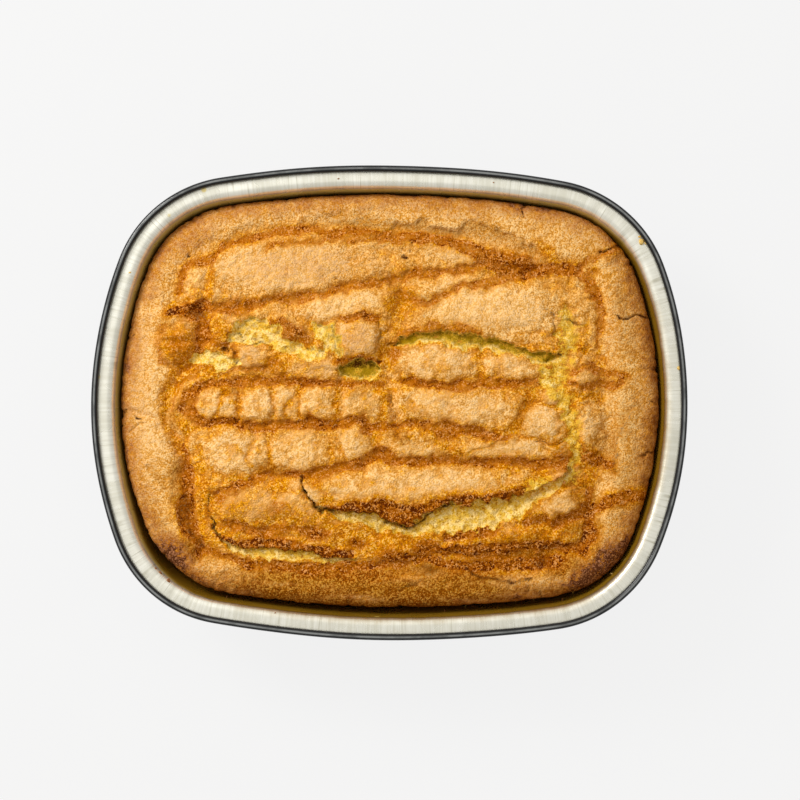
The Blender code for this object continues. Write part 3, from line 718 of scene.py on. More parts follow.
SYRUP_LINES = tuple(SyrupLine(strength, tuple(points)) for strength, *points in (
    (0.9, (-66, -35.4, 0.5), (-61, -33.7, 0.8), (-55, -31.6, 0.7), (-49.6, -30.4, 0.7)),
    (0.8, (-61, -43.4, 0.5), (-54.5, -46, 0.7), (-48, -47.5, 0.8), (-37, -46.8, 0.7), (-28, -47.6, 0.6)),
    (0.85, (-79, 40, 0.9), (-78, 46, 1.2), (-74, 50.7, 1.1), (-68, 52, 1.2), (-65, 55.5, 0.9),
     (-60, 58.5, 1), (-54, 60.2, 1.3), (-50, 61, 1.3), (-44, 62.5, 1.3), (-36, 63.5, 1.4), (-30, 64, 1.2),
     (-22, 62.5, 1.3), (-14, 63.5, 1.2), (-5, 62, 1.5), (5, 61.5, 1.6), (14, 61, 1.6), (20, 60, 1.5),
     (27, 58, 1.7), (33, 56, 2), (40, 53.5, 2.4), (47, 51, 2.6), (54, 49, 2)),
    (0.65, (-46, 57.5, 0.5), (-36, 59, 0.8), (-25, 60, 1), (-12, 60.3, 1), (0, 60.2, 0.9), (8, 59.5, 0.6)),
    (0.6, (-66, 52.5, 0.6), (-67.5, 49.5, 0.6)),
    (0.6, (-46, 58, 0.7), (-46.5, 54.5, 0.4)),
    (0.75, (-72, 35, 1.4), (-63, 34.5, 1.8), (-57, 33.5, 2.2), (-50, 36, 1.8), (-43, 37.5, 1.3),
     (-35, 38, 1.3), (-25, 39.5, 1.3), (-20, 41.5, 1.4), (-12, 43.5, 1.2), (-5, 44.5, 1), (0, 45.5, 1),
     (5, 46, 1.3), (8, 47.5, 1.5), (15, 48, 1.2), (25, 49.5, 1.3), (34, 51, 1.7)),
    (0.7, (9, 38, 1.4), (14, 36.5, 1.2), (20, 40, 1), (27, 43.5, 1.1), (34, 43.8, 1.2), (40, 45.5, 1.3),
     (46, 48, 1.8), (54, 49, 1.8)),
    (0.95, (34, 53, 2.2), (42, 51, 2.6), (50, 49.4, 2.4), (54, 49.5, 2.2), (60, 50, 1.9), (66, 50.5, 1.7),
     (70, 51, 1.4)),
    (0.7, (70, 51, 1.3), (75, 54, 1), (81, 57, 1.2), (84.5, 59.5, 1.2)),
    (0.7, (70, 49, 1.3), (74, 46, 1.4), (75.5, 42, 1.5), (78, 38, 1.2), (78.5, 32, 1), (77, 22, 0.8)),
    (0.7, (74, 49, 0.7), (76, 50, 0.6)),
    (0.85, (5, 7.5, 1), (13, 7, 1.3), (24, 6, 1.6), (33, 7, 1.3), (42, 7, 1.4), (50, 8, 1.1), (57, 8.5, 0.9)),
    (0.85, (-2, 7, 0.9), (-11, 6.5, 1.1), (-20, 6.5, 1.3), (-30, 7, 1.4), (-45, 7, 1.3), (-55, 6.3, 1.3),
     (-68, 5.5, 1.5), (-72, 3, 2.2), (-74.5, 0, 2.6), (-75, -3, 2.4), (-73, -6, 2), (-69, -8.5, 1.5),
     (-60, -8, 1), (-50, -10.5, 1.6), (-40, -9.5, 1.6), (-30, -9, 1.8), (-20, -9, 1.8), (-13, -7, 1.4),
     (-4, -9, 1.1), (8, -8, 0.9), (16, -9, 1.6), (24, -9.3, 1.8), (34, -11, 1.5), (41, -13, 1.3),
     (45, -12, 0.9)),
    (0.5, (-38, 9, 0.8), (-46, 11.5, 1.1), (-54, 11.5, 1), (-60, 10.5, 1), (-66, 12, 0.9), (-71, 11, 0.9),
     (-77, 6, 0.9), (-80, 2, 0.8), (-81, -4, 0.7)),
    (0.8, (-48, -28, 0.9), (-38, -28, 1.2), (-28, -27, 1.5), (-18, -25, 1.5), (-10, -23.5, 1.4),
     (-3, -19, 2.2), (3, -22, 1.6), (12, -22, 1.3), (25, -21.5, 1.3), (38, -22, 1.3), (46, -21, 1.2),
     (57, -22, 1.5), (66, -20, 1.8)),
    (0.7, (66, 12, 1), (72, 13.5, 1.2), (78, 12.5, 1.2), (86, 11, 1), (88.5, 10.5, 0.8)),
    (0.8, (66, 8.5, 0.8), (72, 6.7, 1.2), (78, 8, 1.3), (84, 7, 1.2), (86, 9, 0.9)),
    (1.3, (-22, -39.6, 1.1), (-12, -39, 1.7), (0, -40.2, 2.8), (8, -42, 3.2), (14, -40, 2.6),
     (22, -36.4, 1.7), (33, -35.4, 1.7), (43, -34.6, 1.7), (50, -31.5, 1.3)),
    (1, (22, -50, 1), (28, -49, 1.6), (33, -48, 1.9), (40, -47, 1.6)),
    (0.85, (52, -44, 1), (58, -42.7, 1.3), (63, -44, 1.4), (70, -41.5, 1.4), (73, -38, 1.4),
     (74.5, -31, 1.1)),
    (1.2, (14, -55, 1.2), (24, -54.6, 1.4), (36, -54, 1.6), (48, -53.2, 1.5), (58, -52.4, 1.6),
     (68, -53, 1.6), (73, -52, 1.3)),
    (1.2, (8, -57, 1), (20, -59.3, 1.3), (30, -60.4, 1.5), (45, -60, 1.4), (56, -59, 1.9), (63, -58.4, 1.9)),
    (1.15, (73, -37, 1.3), (75, -43, 1.5), (75.4, -48, 1.8), (72.6, -53.5, 1.8)),
    (1, (74, -39, 1.3), (80, -37.5, 1.3), (84, -35, 1.6), (90, -33.7, 2), (95.5, -34, 1.6)),
    (1, (69, -15, 1.2), (75, -20, 1.9), (83, -23, 1.4)),
    (1.3, (-63, -50, 0.8), (-56, -53.5, 1.5), (-47, -53.5, 1.9), (-36, -53.5, 1.9), (-28, -55.5, 1.6),
     (-20, -56.5, 1.4), (-13, -56, 1)),
    (0.7, (-60, -46.5, 1), (-52, -48, 1.3), (-45, -49, 1.3), (-38, -48.5, 1.1)),
    (0.6, (-64, -36, 0.9), (-58, -34, 1), (-50, -31, 1.2), (-46, -30, 0.8)),
    (0.9, (-70, -56, 1.2), (-60, -58, 1.1), (-52, -61.3, 1.4), (-42, -61, 1.3), (-30, -63, 1.5),
     (-20, -61.3, 1.5), (-10, -61.5, 1.4), (0, -60.3, 1.4), (8, -60, 1.2)),
    (1, (-76, -19, 0.8), (-74.5, -27, 1.3), (-74.5, -36, 2.1), (-75, -41, 2.9), (-73.5, -47, 2.6),
     (-70.5, -52, 2), (-69.5, -57, 1.3)),
    (1.4, (-83, 31.6, 0.8), (-78, 33.5, 1.5), (-70.5, 33.5, 1.4)),
    (0.7, (2, 24.6, 0.5), (8, 26.6, 0.8), (14, 28.2, 1.1), (20, 28.6, 1.2), (27, 27.4, 1), (34, 26.8, 0.7)),
    (0.6, (-84, 27, 0.7), (-86, 20, 0.8), (-84, 13.5, 0.9), (-78, 11.5, 0.9), (-73, 13, 1)),
    (0.9, (-71, 31, 1.6), (-69.5, 25, 1.8), (-71, 18, 1.4)),
    (0.7, (-66, 31.5, 0.8), (-68, 26, 0.8), (-65.5, 21.5, 0.9), (-60.5, 20.5, 1), (-58.5, 25, 0.7)),
    (0.7, (-57.5, 19, 0.8), (-56.8, 13, 0.8), (-52, 10.8, 0.9), (-46, 12, 0.9)),
    (1, (-18, 15, 0.5), (-12, 15.6, 0.9), (-6, 14.8, 0.6)),
    (0.85, (-18, 30.5, 0.9), (-10, 31.3, 1.1), (-5, 31, 0.8)),
    (1.1, (-20, 15.4, 0.7), (-12, 15.2, 0.9), (-3.5, 15, 0.7)),
    (0.8, (-43.5, 29.5, 1.2), (-40, 27.5, 2.2), (-35, 24.5, 2.4), (-31, 22.5, 1.5)),
    (0.9, (-29, -7.5, 1.8), (-27, -8.5, 1.8)),
    (0.7, (-9, -11, 1.6), (-6, -11.5, 1.2)),
    (0.75, (19, -12, 1.3), (24, -12.4, 1.2)),
))

# Each crack: depth, strength of its painted shade, then the path's points.
CRACKS = tuple(Crack(depth, dark, tuple(points)) for depth, dark, *points in (
    (0.8, 0.9, (49, 75, 0.45), (48.5, 72.5, 0.4), (49.5, 70, 0.35)),
    (0.8, 0.9, (8, 59.5, 0.4), (7, 56, 0.35)),
    (0.8, 0.9, (4.6, 55.4, 0.7), (6.2, 53.7, 0.55)),
    (1, 0.9, (84.5, 32.5, 0.35), (87, 32, 0.5), (90, 33.5, 0.6), (94, 33, 0.6), (97, 33, 0.4)),
    (1.2, 0.9, (78, 56.8, 0.35), (82, 58.6, 0.6), (84.5, 59.7, 0.8), (87, 60.7, 0.7)),
    (1.4, 0.9, (-100, -5, 0.7), (-97.5, -5.3, 0.5)),
    (0.8, 0.9, (-94.8, -6.4, 0.6), (-92.8, -7.6, 0.5)),
    (0.5, 0.6, (-92, -9, 0.35), (-97, -13, 0.35)),
    (1, 0.9, (-33, -28, 0.35), (-31, -32, 0.5), (-29, -36, 0.6), (-25, -40.5, 0.8), (-20, -40.9, 0.7)),
    (0.8, 0.75, (-66, -36, 0.4), (-66, -41, 0.45), (-64, -47, 0.5), (-61, -52.5, 0.6)),
    (0.6, 0.8, (-15, -40.4, 0.5), (-5, -40.9, 0.6), (0, -44.2, 0.7), (7, -46.2, 0.8), (14, -43.2, 0.8),
     (18, -39.7, 0.6), (26, -37.2, 0.5)),
    (0.5, 0.45, (19, -20, 0.4), (28, -18.5, 0.5), (34, -16.5, 0.5), (40, -15, 0.5), (45, -12.5, 0.4)),
    (0.5, 0.4, (29, -19, 0.4), (34, -22, 0.4)),
    (0.6, 0.45, (1, -8, 0.4), (6, -11, 0.45), (10.5, -16, 0.5), (13, -17, 0.4)),
    (0.6, 0.45, (0.5, 2, 0.4), (2, -1, 0.5), (3, -5, 0.5), (4, -8, 0.4)),
    (0.6, 0.6, (55, -15, 0.5), (65, -14, 0.6)),
    (0.6, 0.5, (13, -66, 0.5), (9, -69, 0.5), (5, -70, 0.4)),
    (0.7, 0.6, (-56.5, 24, 0.5), (-53, 20.5, 0.5), (-47, 22, 0.6), (-43.5, 18.4, 0.5)),
    (0.6, 0.6, (-58, 19, 0.5), (-56.5, 12.5, 0.5)),
    (0.7, 0.5, (-20, 30, 0.5), (-21, 24, 0.6), (-18.5, 17.5, 0.6)),
    (0.7, 0.55, (-4.5, 30, 0.5), (-3.6, 24, 0.6), (-5.5, 17, 0.6)),
    (0.7, 0.6, (59, 35, 0.5), (61, 31, 0.6), (62, 26, 0.5)),
    (0.6, 0.7, (66, 32, 0.4), (69, 30.5, 0.5), (72, 30, 0.3)),
    (0.8, 0.8, (-56, -71.6, 0.5), (-55.5, -69.6, 0.4)),
    (0.8, 0.8, (58, -71.4, 0.5), (57, -69.4, 0.4)),
    (0.7, 0.6, (52, -72, 0.4), (52.5, -68, 0.35)),
    (1.2, 0.9, (99.5, 1, 0.6), (97.4, 1, 0.4)),
    (0.9, 0.8, (98.5, -17, 0.6), (94, -19, 0.5)),
    (1, 0.9, (-76, 69, 0.7), (-74.4, 67.4, 0.5)),
    (0.6, 0.9, (8, 48.3, 0.6), (8.2, 48.6, 0.6)),
    (0.6, 0.9, (-21, 45.5, 0.5), (-20.8, 45.7, 0.5)),
    (0.6, 0.9, (-76.5, 53.5, 0.6), (-75.8, 53.3, 0.6)),
    (0.6, 0.9, (-95.3, 23.5, 0.6), (-95, 23.7, 0.6)),
    (0.8, 1, (-62, 18.5, 1), (-60.4, 18.4, 1)),
    (0.8, 1, (-0.4, 21.5, 0.7), (0.4, 21.4, 0.7)),
    (0.8, 1, (-4.2, 15.4, 0.8), (-3.8, 15.6, 0.8)),
    (0.8, 0.9, (63, 18.6, 0.8), (64, 18.4, 0.8)),
    (1.4, 0.5, (-50, 23.6, 0.8), (-49, 23.4, 0.8)),
))

STAINS = tuple(Stain(mask, *numbers) for mask, *patches in (
    (Mask.AMBER, (-64, 25, 8, 8, 0.9), (4, 37, 8, 9, 0.8, -20), (0, 18, 4.5, 7, 0.9),
     (46, 52.5, 15, 5, 0.95, -12), (-57, 35, 15, 3.5, 0.8, 5), (58, 57, 8, 2.4, 0.75, -38),
     (-35, -45, 20, 9, 0.72, -8), (0, -52, 24, 8, 1, 4), (-20, -50, 16, 6, 0.85), (22, -52.5, 20, 5, 0.85),
     (46, -57, 20, 4, 0.75), (-56, -40, 9, 9, 0.6, -30), (60, 11, 5, 7, 0.85), (68, -20, 5, 6, 0.75),
     (54, -29.5, 8, 4, 0.7, 28), (58, -49, 17, 9, 1, 15), (36, -52, 22, 6, 0.9, 5), (72, -32, 6, 9, 0.6),
     (-42, 14, 7, 4, 0.85), (-26, 28, 8, 3, 0.5, 10), (-72, 39, 5, 6, 0.6), (-10, -64, 36, 3.4, 0.6),
     (-69, 29, 6, 5, 0.9), (72, 22, 3, 8, 0.45), (66, 2, 4, 8, 0.6), (-45, -34, 14, 4, 0.5, 10),
     (62, -50, 8, 4, 0.5, 20), (-31, 14, 6, 5, 0.5), (-78, 20, 7.5, 8, 1), (36, -62, 20, 3, 0.6)),
    (Mask.SYRUP, (-26, -49, 6.5, 2.6, 1), (-11, -52, 4, 2.4, 1), (3, -57.5, 7.5, 3.4, 1),
     (15, -54, 6, 3, 1), (46, 52.5, 11, 3.4, 0.9, -8), (-74, 31, 5.5, 3.2, 1), (65, -21, 5.5, 5, 0.75),
     (64, -27.5, 3, 2.2, 1, 10), (57, -58.4, 4.8, 2.8, 1), (-78, 20, 6, 7, 0.55),
     (50.5, 53.4, 6, 2.2, 0.88, -8), (-57, 37, 4, 2, 0.62), (2, 17.5, 3.2, 4, 0.62),
     (-43, 14, 4, 2.6, 0.62), (5, 40, 4, 4, 0.44), (38, -57, 12, 2, 0.62), (-2, -19.5, 4.4, 2.4, 0.75),
     (-41, -39.5, 4.5, 3.4, 0.62, 20), (-62, -37, 3, 2.4, 0.6)),
    (Mask.PALE, (36, 37, 24, 8, 0.55, -3), (17, 16, 10, 5.6, 1), (45, 14, 8, 3.5, 0.45, -12),
     (57, -6, 5.4, 5.6, 0.9), (25, -32, 22, 4.6, 0.5, 3), (10, -18.4, 7, 2.4, 1, -8),
     (-12, -16.5, 6, 5, 0.75, 20), (46.5, -50, 7, 3, 0.7, 8), (65, -37.4, 6, 3.4, 0.6, 10),
     (-20, 36.5, 14, 4.4, 0.8, 8), (-88, -16, 8, 13, 0.55), (-91, 5, 8, 30, 0.5), (-40, 50, 26, 8, 0.35, 4),
     (30, 56, 18, 3.6, 0.7, -12), (22, 45, 12, 2.4, 0.6, 10), (25, 0, 20, 5, 0.4, -4), (-26, -1, 6, 5, 0.4),
     (-49, -2, 5, 5, 0.4), (-10, 0, 6, 4.5, 0.45), (-60, -20, 12, 9, 0.35), (-32, -19, 9, 8, 0.3),
     (-56, -38.6, 8, 3.6, 0.8, -8), (-47, -34, 5, 2, 0.5, 8), (-29, -41, 7, 4, 0.8, -20),
     (-72.5, 35.8, 2.4, 1.4, 1, 35), (63, 28, 6, 6, 0.4), (80, 35, 8, 16, 0.15), (-4, 52, 14, 6, 0.3),
     (-76, 45, 4, 7, 0.4), (60, 2, 3, 2.6, 0.6), (-48, -22, 6, 6, 0.3), (44, -17.5, 12, 2.6, 0.4)),
    (Mask.TOAST, (80.5, -59, 13, 7.5, 1.4, 38), (-79.5, -58.5, 11, 7, 1.3, -42),
     (83, 56.5, 4.5, 2.2, 0.95, 35), (-30, 50, 40, 11, 0.33, 3), (-93, 0, 6, 30, 0.25),
     (-78, 21, 8, 8, 0.5), (94, 17.6, 3, 1.2, 0.9, -10), (-12, 23.5, 7, 6.5, 0.45), (90, 42, 7, 10, 0.35),
     (-74, 60, 14, 7, 0.6, 42), (-52, 15, 5, 5, 0.35), (-29, 12, 9, 5, 0.35), (84, 30, 6, 10, 0.3),
     (20, -66, 60, 7, 0.38)),
    # Patches of broad painted shade.
    (Mask.BROAD_SHADE, (-71, -56, 8, 5, 0.6, -20), (-44, -25, 7, 3, 0.6, -8), (4, -13, 6, 3, 0.6, -35),
     (-38, -4, 2, 3, 0.5), (-57, 3, 5, 2.4, 0.45, 20), (-84, 25, 3, 7, 0.35), (-80, -6, 2.4, 7, 0.5),
     (26, -21, 8, 2.2, 0.5, -5), (49, -4, 2, 8, 0.5), (-12, 2.5, 4, 3, 0.45), (-13, 66, 14, 2.6, 0.5),
     (-78, -30, 5, 9, 0.6, 15), (-86, -44, 4, 10, 0.35, 30), (60, -33, 6, 3, 0.4, 20), (79, -12, 5, 8, 0.4),
     (76, -46, 4, 8, 0.6), (66, -60, 8, 5, 0.8, 25), (50, -55, 24, 7, 0.6, 5), (35, 66, 6, 2, 0.4, -8),
     (77, -20, 8, 3, 0.8, -15), (70, -30, 5, 8, 0.5), (82, 8, 6, 4, 0.4), (86, -36, 8, 3, 0.6),
     (-45, -52, 12, 1.8, 0.5), (14, -62, 20, 3, 0.6), (-40, -66, 24, 3, 0.7), (34, 30, 16, 3, 0.25, -3),
     (68, -45, 4, 6, 0.5), (-62, 44, 1.6, 7, 0.3), (-60, 60, 8, 2, 0.3, 25)),
    (Mask.SHADE, (-12, 67.5, 16, 1.8, 0.25), (20, 63.6, 24, 1.7, 0.3, -7), (16, -63, 5, 2.6, 0.45, 20),
     (-11, 13.6, 6, 1.6, 0.8), (65, -17, 4, 6, 0.35), (-75, -41, 3.4, 6, 0.5), (-72, 32, 5, 2.2, 0.5),
     (58, -58.4, 4.4, 2.4, 0.5), (33, -58.6, 14, 1.6, 0.35), (-10, -68, 34, 2.4, 0.12)),
    (Mask.CRUMB, (59, 8, 3, 8, 0.6, 20), (-8, 9.4, 3.4, 1.6, 0.9), (-24, 25.8, 4, 2.4, 0.6, 10),
     (55, -30.4, 5, 3.2, 0.7, 28)),
) for numbers in patches)

BANDS = tuple(Band(mask, strength, tuple(points)) for mask, strength, *points in (
    (Mask.AMBER, 0.85, (-69, -26, 2.6), (-68.5, -38, 3.2), (-68, -48, 3.2), (-66, -56, 3)),
    (Mask.AMBER, 0.75, (-79, 14, 2), (-82, 5, 2.2), (-84, -3, 2), (-83, -10, 1.8), (-79, -16, 1.8),
     (-76, -22, 1.8)),
    (Mask.AMBER, 0.85, (-67, 47, 1.8), (-67.4, 40, 2), (-68, 34, 2)),
    (Mask.AMBER, 0.5, (19, -20, 1.2), (28, -18.5, 1.3), (40, -15, 1.3), (45, -12.5, 1)),
    (Mask.AMBER, 0.45, (50, 5, 1.2), (50, 0, 1.3), (49, -5, 1.3), (47, -9, 1.2), (44, -12, 1)),
    (Mask.AMBER, 0.4, (1, 5, 1.2), (1.4, 0, 1.4), (3, -5, 1.4), (5, -10, 1.2)),
    (Mask.AMBER, 0.45, (-17, 14, 1.3), (-17.4, 6, 1.4), (-17, -2, 1.3), (-18, -8, 1.2)),
    (Mask.AMBER, 0.6, (-18, -8, 1), (-18.6, -16, 1.1), (-15, -24, 1.1)),
    (Mask.AMBER, 0.75, (-58, 6, 1.4), (-55.4, 1, 1.2), (-55, -4, 1.2), (-56, -8, 1.2)),
    (Mask.AMBER, 0.6, (-31, 5, 1.2), (-36, 0, 1.6), (-38, -5, 1.8), (-37, -9, 1.4)),
    (Mask.AMBER, 0.55, (-51, -9, 1.4), (-50, -15, 1.2), (-52, -21, 1.2), (-49, -27, 1.2)),
    (Mask.AMBER, 0.8, (-6, -9, 2), (-5, -15, 1.6), (-1, -20, 2)),
    (Mask.AMBER, 0.4, (19, 4, 1.2), (24, -3, 1.2), (23, -9, 1.2)),
    (Mask.AMBER, 0.6, (31, 15, 0.9), (34, 13, 0.9), (36, 9, 0.9)),
    (Mask.AMBER, 0.95, (-70, 33, 2.2), (-69, 26, 2), (-72, 17, 2), (-77, 9, 2), (-81, 1, 1.6)),
    (Mask.AMBER, 0.6, (78.6, 30, 1.6), (78, 22, 1.6), (77, 14, 1.6)),
    (Mask.SHADE, 0.5, (-75, -44, 1.6), (-72, -49.5, 1.4), (-68.6, -55, 1.3)),
    (Mask.TOAST, 1.65, (68, -68, 2.5), (74, -65.5, 4.6), (80, -61, 6.2), (86, -55.5, 5.2), (90, -50, 2.5)),
))

TOP_FEATURES = (*LEDGES, *TEARS, *SYRUP_LINES, *CRACKS, *STAINS, *BANDS)


# The tin's outline, shared by the tin, the loaf and the crumbs


@dataclass(frozen=True)
class TinPlan:
    """The rim seen from above: a rounded rectangle whose sides bow outwards."""

    length: float = 222.0
    width: float = 176.8
    long_side_radius: float = 396.0
    short_side_radius: float = 149.0
    corner_radius: float = 48.3
    arc_steps: int = 400

    def corner(self) -> tuple[float, float]:
        """Centre of the corner arc that touches both side arcs from inside."""
        above = (0.0, self.width / 2 - self.long_side_radius)
        aside = (self.length / 2 - self.short_side_radius, 0.0)
        reach_above = self.long_side_radius - self.corner_radius
        reach_aside = self.short_side_radius - self.corner_radius
        apart = math.dist(above, aside)
        along = (reach_above**2 - reach_aside**2 + apart**2) / (2 * apart)
        off = math.sqrt(reach_above**2 - along**2)
        step = ((aside[0] - above[0]) / apart, (aside[1] - above[1]) / apart)
        return (above[0] + step[0] * along + step[1] * off, above[1] + step[1] * along - step[0] * off)

    def rim(self) -> Array:
        """The rim's outer edge, finely.

        Returns:
            Rows of x, y and outward normal, counter-clockwise from +X and closed by the first again.
        """
        corner = self.corner()
        above = (0.0, self.width / 2 - self.long_side_radius)
        aside = (self.length / 2 - self.short_side_radius, 0.0)
        low = math.atan2(corner[1] - aside[1], corner[0] - aside[0])
        high = math.atan2(corner[1] - above[1], corner[0] - above[0])
        arcs = (
            (aside, self.short_side_radius, 0.0, low),
            (corner, self.corner_radius, low, high),
            (above, self.long_side_radius, high, math.pi / 2),
        )
        quarter = []
        for centre, radius, start, end in arcs:
            turn = np.linspace(start, end, self.arc_steps, endpoint=False)
            normal = np.column_stack([np.cos(turn), np.sin(turn)])
            quarter.append(np.column_stack([np.array(centre) + radius * normal, normal]))
        first = np.vstack(quarter)
        top = np.array([[0.0, self.width / 2, 0.0, 1.0]])
        half = np.vstack([first, top, first[:0:-1] * (-1, 1, -1, 1)])
        return np.vstack([half, half * (-1, -1, -1, -1), half[:1]])

    def even_rim(self, count: int) -> Array:
        """The rim at even spacing.

        Args:
            count: How many steps the rim is cut into.

        Returns:
            Rows of x, y, outward normal and length along the rim, closed by the first again.
        """
        line = self.rim()
        length = run_lengths(line)
        wanted = np.linspace(0, length[-1], count + 1)
        return np.column_stack([read_off(wanted, length, line[:, :4]), wanted])


# Shader wiring


class Wiring:
    """Adds and joins the nodes of one node tree."""

    def __init__(self, tree: NodeTree) -> None:
        """Work on this tree."""
        self.tree = tree

    def node(self, kind: str, inputs: dict | None = None, **settings: object) -> Node:
        """Add a node.

        Args:
            kind: Blender's name of the node type.
            inputs: What feeds each socket, a number or colour or another node's output.
            settings: The node's own settings.

        Returns:
            The new node.
        """
        made = self.tree.nodes.new(kind)
        for name, value in settings.items():
            setattr(made, name, value)
        for socket, value in (inputs or {}).items():
            self.feed(made.inputs[socket], value)
        return made

    def feed(self, socket: Socket, value: object) -> None:
        """Give a socket its value, or join it to an output."""
        if isinstance(value, Socket):
            self.tree.links.new(value, socket)
        else:
            socket.default_value = value

    def attribute(self, name: str) -> Socket:
        """A number kept at the piece's vertices."""
        return self.node("ShaderNodeAttribute", attribute_name=name).outputs["Fac"]

    def math(self, operation: str, a: object, b: object = 0.0) -> Socket:
        """One sum on two numbers."""
        return self.node("ShaderNodeMath", {0: a, 1: b}, operation=operation).outputs[0]

    def times(self, a: object, b: object) -> Socket:
        """One number times another."""
        return self.math("MULTIPLY", a, b)

    def plus(self, a: object, b: object) -> Socket:
        """One number and another."""
        return self.math("ADD", a, b)

    def less(self, a: object, b: object) -> Socket:
        """One number less another."""
        return self.math("SUBTRACT", a, b)

    def blend(self, a: object, b: object, share: float) -> Socket:
        """This share of one number and the rest of another."""
        return self.plus(self.times(a, share), self.times(b, 1.0 - share))

    def remap(self, value: object, low: float, high: float, to_low: float = 0.0,
              to_high: float = 1.0) -> Socket:
        """Bring a number smoothly from one range into another."""
        made = self.node(
            "ShaderNodeMapRange",
            {"Value": value, "From Min": low, "From Max": high, "To Min": to_low, "To Max": to_high},
            interpolation_type="SMOOTHSTEP",
        )
        return made.outputs["Result"]

    def mix(self, factor: object, a: object, b: object, blend: str = "MIX") -> Socket:
        """Mix two colours."""
        made = self.node("ShaderNodeMix", data_type="RGBA", blend_type=blend)
        for place, value in ((0, factor), (6, a), (7, b)):
            if not isinstance(value, Socket) and place != 0:
                value = (*value, 1.0)
            self.feed(made.inputs[place], value)
        return made.outputs[2]

    def noise(self, place: object, size: float, detail: float = 2.0, roughness: float = 0.55,
              distortion: float = 0.0) -> Socket:
        """Noise whose lumps are about this many millimetres across."""
        made = self.node(
            "ShaderNodeTexNoise",
            {"Vector": place, "Scale": 1.0 / (size * MM), "Detail": detail, "Roughness": roughness,
             "Distortion": distortion},
        )
        return made.outputs["Fac"]

    def bump(self, height: object, rise: float, strength: float = 1.0) -> Socket:
        """A bump as high as this many millimetres where the height is 1."""
        inputs = {"Height": height, "Distance": rise * MM, "Strength": strength}
        return self.node("ShaderNodeBump", inputs).outputs["Normal"]


@dataclass(frozen=True)
class EffectGroup:
    """A shader effect that several materials use, kept as one node group."""

    name: str
    inputs: tuple[tuple[str, str], ...]
    outputs: tuple[str, ...]

    def open(self) -> tuple[NodeTree, Wiring, Node, Node]:
        """Start the group with its sockets.

        Returns:
            The tree, its wiring, and its input and output nodes.
        """
        tree = bpy.data.node_groups.new(self.name, "ShaderNodeTree")
        for name, kind in self.inputs:
            tree.interface.new_socket(name=name, in_out="INPUT", socket_type=kind)
        for name in self.outputs:
            tree.interface.new_socket(name=name, in_out="OUTPUT", socket_type="NodeSocketFloat")
        wiring = Wiring(tree)
        return tree, wiring, wiring.node("NodeGroupInput"), wiring.node("NodeGroupOutput")


NUMBER = "NodeSocketFloat"
VECTOR = "NodeSocketVector"
GRAIN_DOME = (0.1, 0.75, 1.0, 0.0)
GRAIN_CLOUD = (0.28, 0.72)
GRAIN_DUST = (0.3, 0.7)
GRAIN_GRIT = (0.14, 0.86)
DUST_FINER = 1.5
SPECK_ROUND = (0.2, 0.42, 1.0, 0.0)


def baked_grain_group() -> NodeTree:
    """Grain of a baked surface: grains of their own brightness, lumps and a broad mottle, from 0 to 1."""
    group = EffectGroup(
        "baked_grain",
        (("Place", VECTOR), ("Grit Scale", NUMBER), ("Lump Scale", NUMBER), ("Mottle Scale", NUMBER)),
        ("Grit", "Rise", "Lumps", "Mottle"),
    )
    tree, wiring, given, out = group.open()
    place = given.outputs["Place"]
    cells = wiring.node("ShaderNodeTexVoronoi", {"Vector": place, "Scale": given.outputs["Grit Scale"]})
    own = wiring.node("ShaderNodeSeparateColor", {"Color": cells.outputs["Color"]}).outputs["Red"]
    dome = wiring.remap(cells.outputs["Distance"], *GRAIN_DOME)

    def cloud(scale: str, detail: float, roughness: float) -> Socket:
        """Noise of one of the given scales."""
        made = wiring.node(
            "ShaderNodeTexNoise",
            {"Vector": place, "Scale": given.outputs[scale], "Detail": detail, "Roughness": roughness},
        )
        return wiring.remap(made.outputs["Fac"], *GRAIN_CLOUD)

    finer = wiring.times(given.outputs["Grit Scale"], DUST_FINER)
    inputs = {"Vector": place, "Scale": finer, "Detail": 1.0, "Roughness": 0.5}
    dust = wiring.node("ShaderNodeTexNoise", inputs)
    fine = wiring.remap(dust.outputs["Fac"], *GRAIN_DUST)
    wiring.feed(out.inputs["Grit"], wiring.remap(wiring.blend(own, fine, 0.5), *GRAIN_GRIT))
    wiring.feed(out.inputs["Rise"], wiring.times(wiring.plus(dome, fine), 0.5))
    wiring.feed(out.inputs["Lumps"], cloud("Lump Scale", 3.0, 0.6))
    wiring.feed(out.inputs["Mottle"], cloud("Mottle Scale", 3.0, 0.55))
    return tree


def specks_group() -> NodeTree:
    """Small scattered specks: 1 inside a speck; Share is how many cells hold one."""
    group = EffectGroup(
        "scattered_specks", (("Place", VECTOR), ("Scale", NUMBER), ("Share", NUMBER)), ("Specks",)
    )
    tree, wiring, given, out = group.open()
    cells = wiring.node(
        "ShaderNodeTexVoronoi", {"Vector": given.outputs["Place"], "Scale": given.outputs["Scale"]}
    )
    parts = wiring.node("ShaderNodeSeparateColor", {"Color": cells.outputs["Color"]})
    chosen = wiring.math("LESS_THAN", parts.outputs["Red"], given.outputs["Share"])
    round_spot = wiring.remap(cells.outputs["Distance"], *SPECK_ROUND)
    wiring.feed(out.inputs["Specks"], wiring.times(chosen, round_spot))
    return tree


def new_material(name: str) -> tuple[Material, Wiring, Node]:
    """A material with its wiring and its Principled shader."""
    made = bpy.data.materials.new(name)
    made.use_nodes = True
    return made, Wiring(made.node_tree), made.node_tree.nodes["Principled BSDF"]


# Finishes


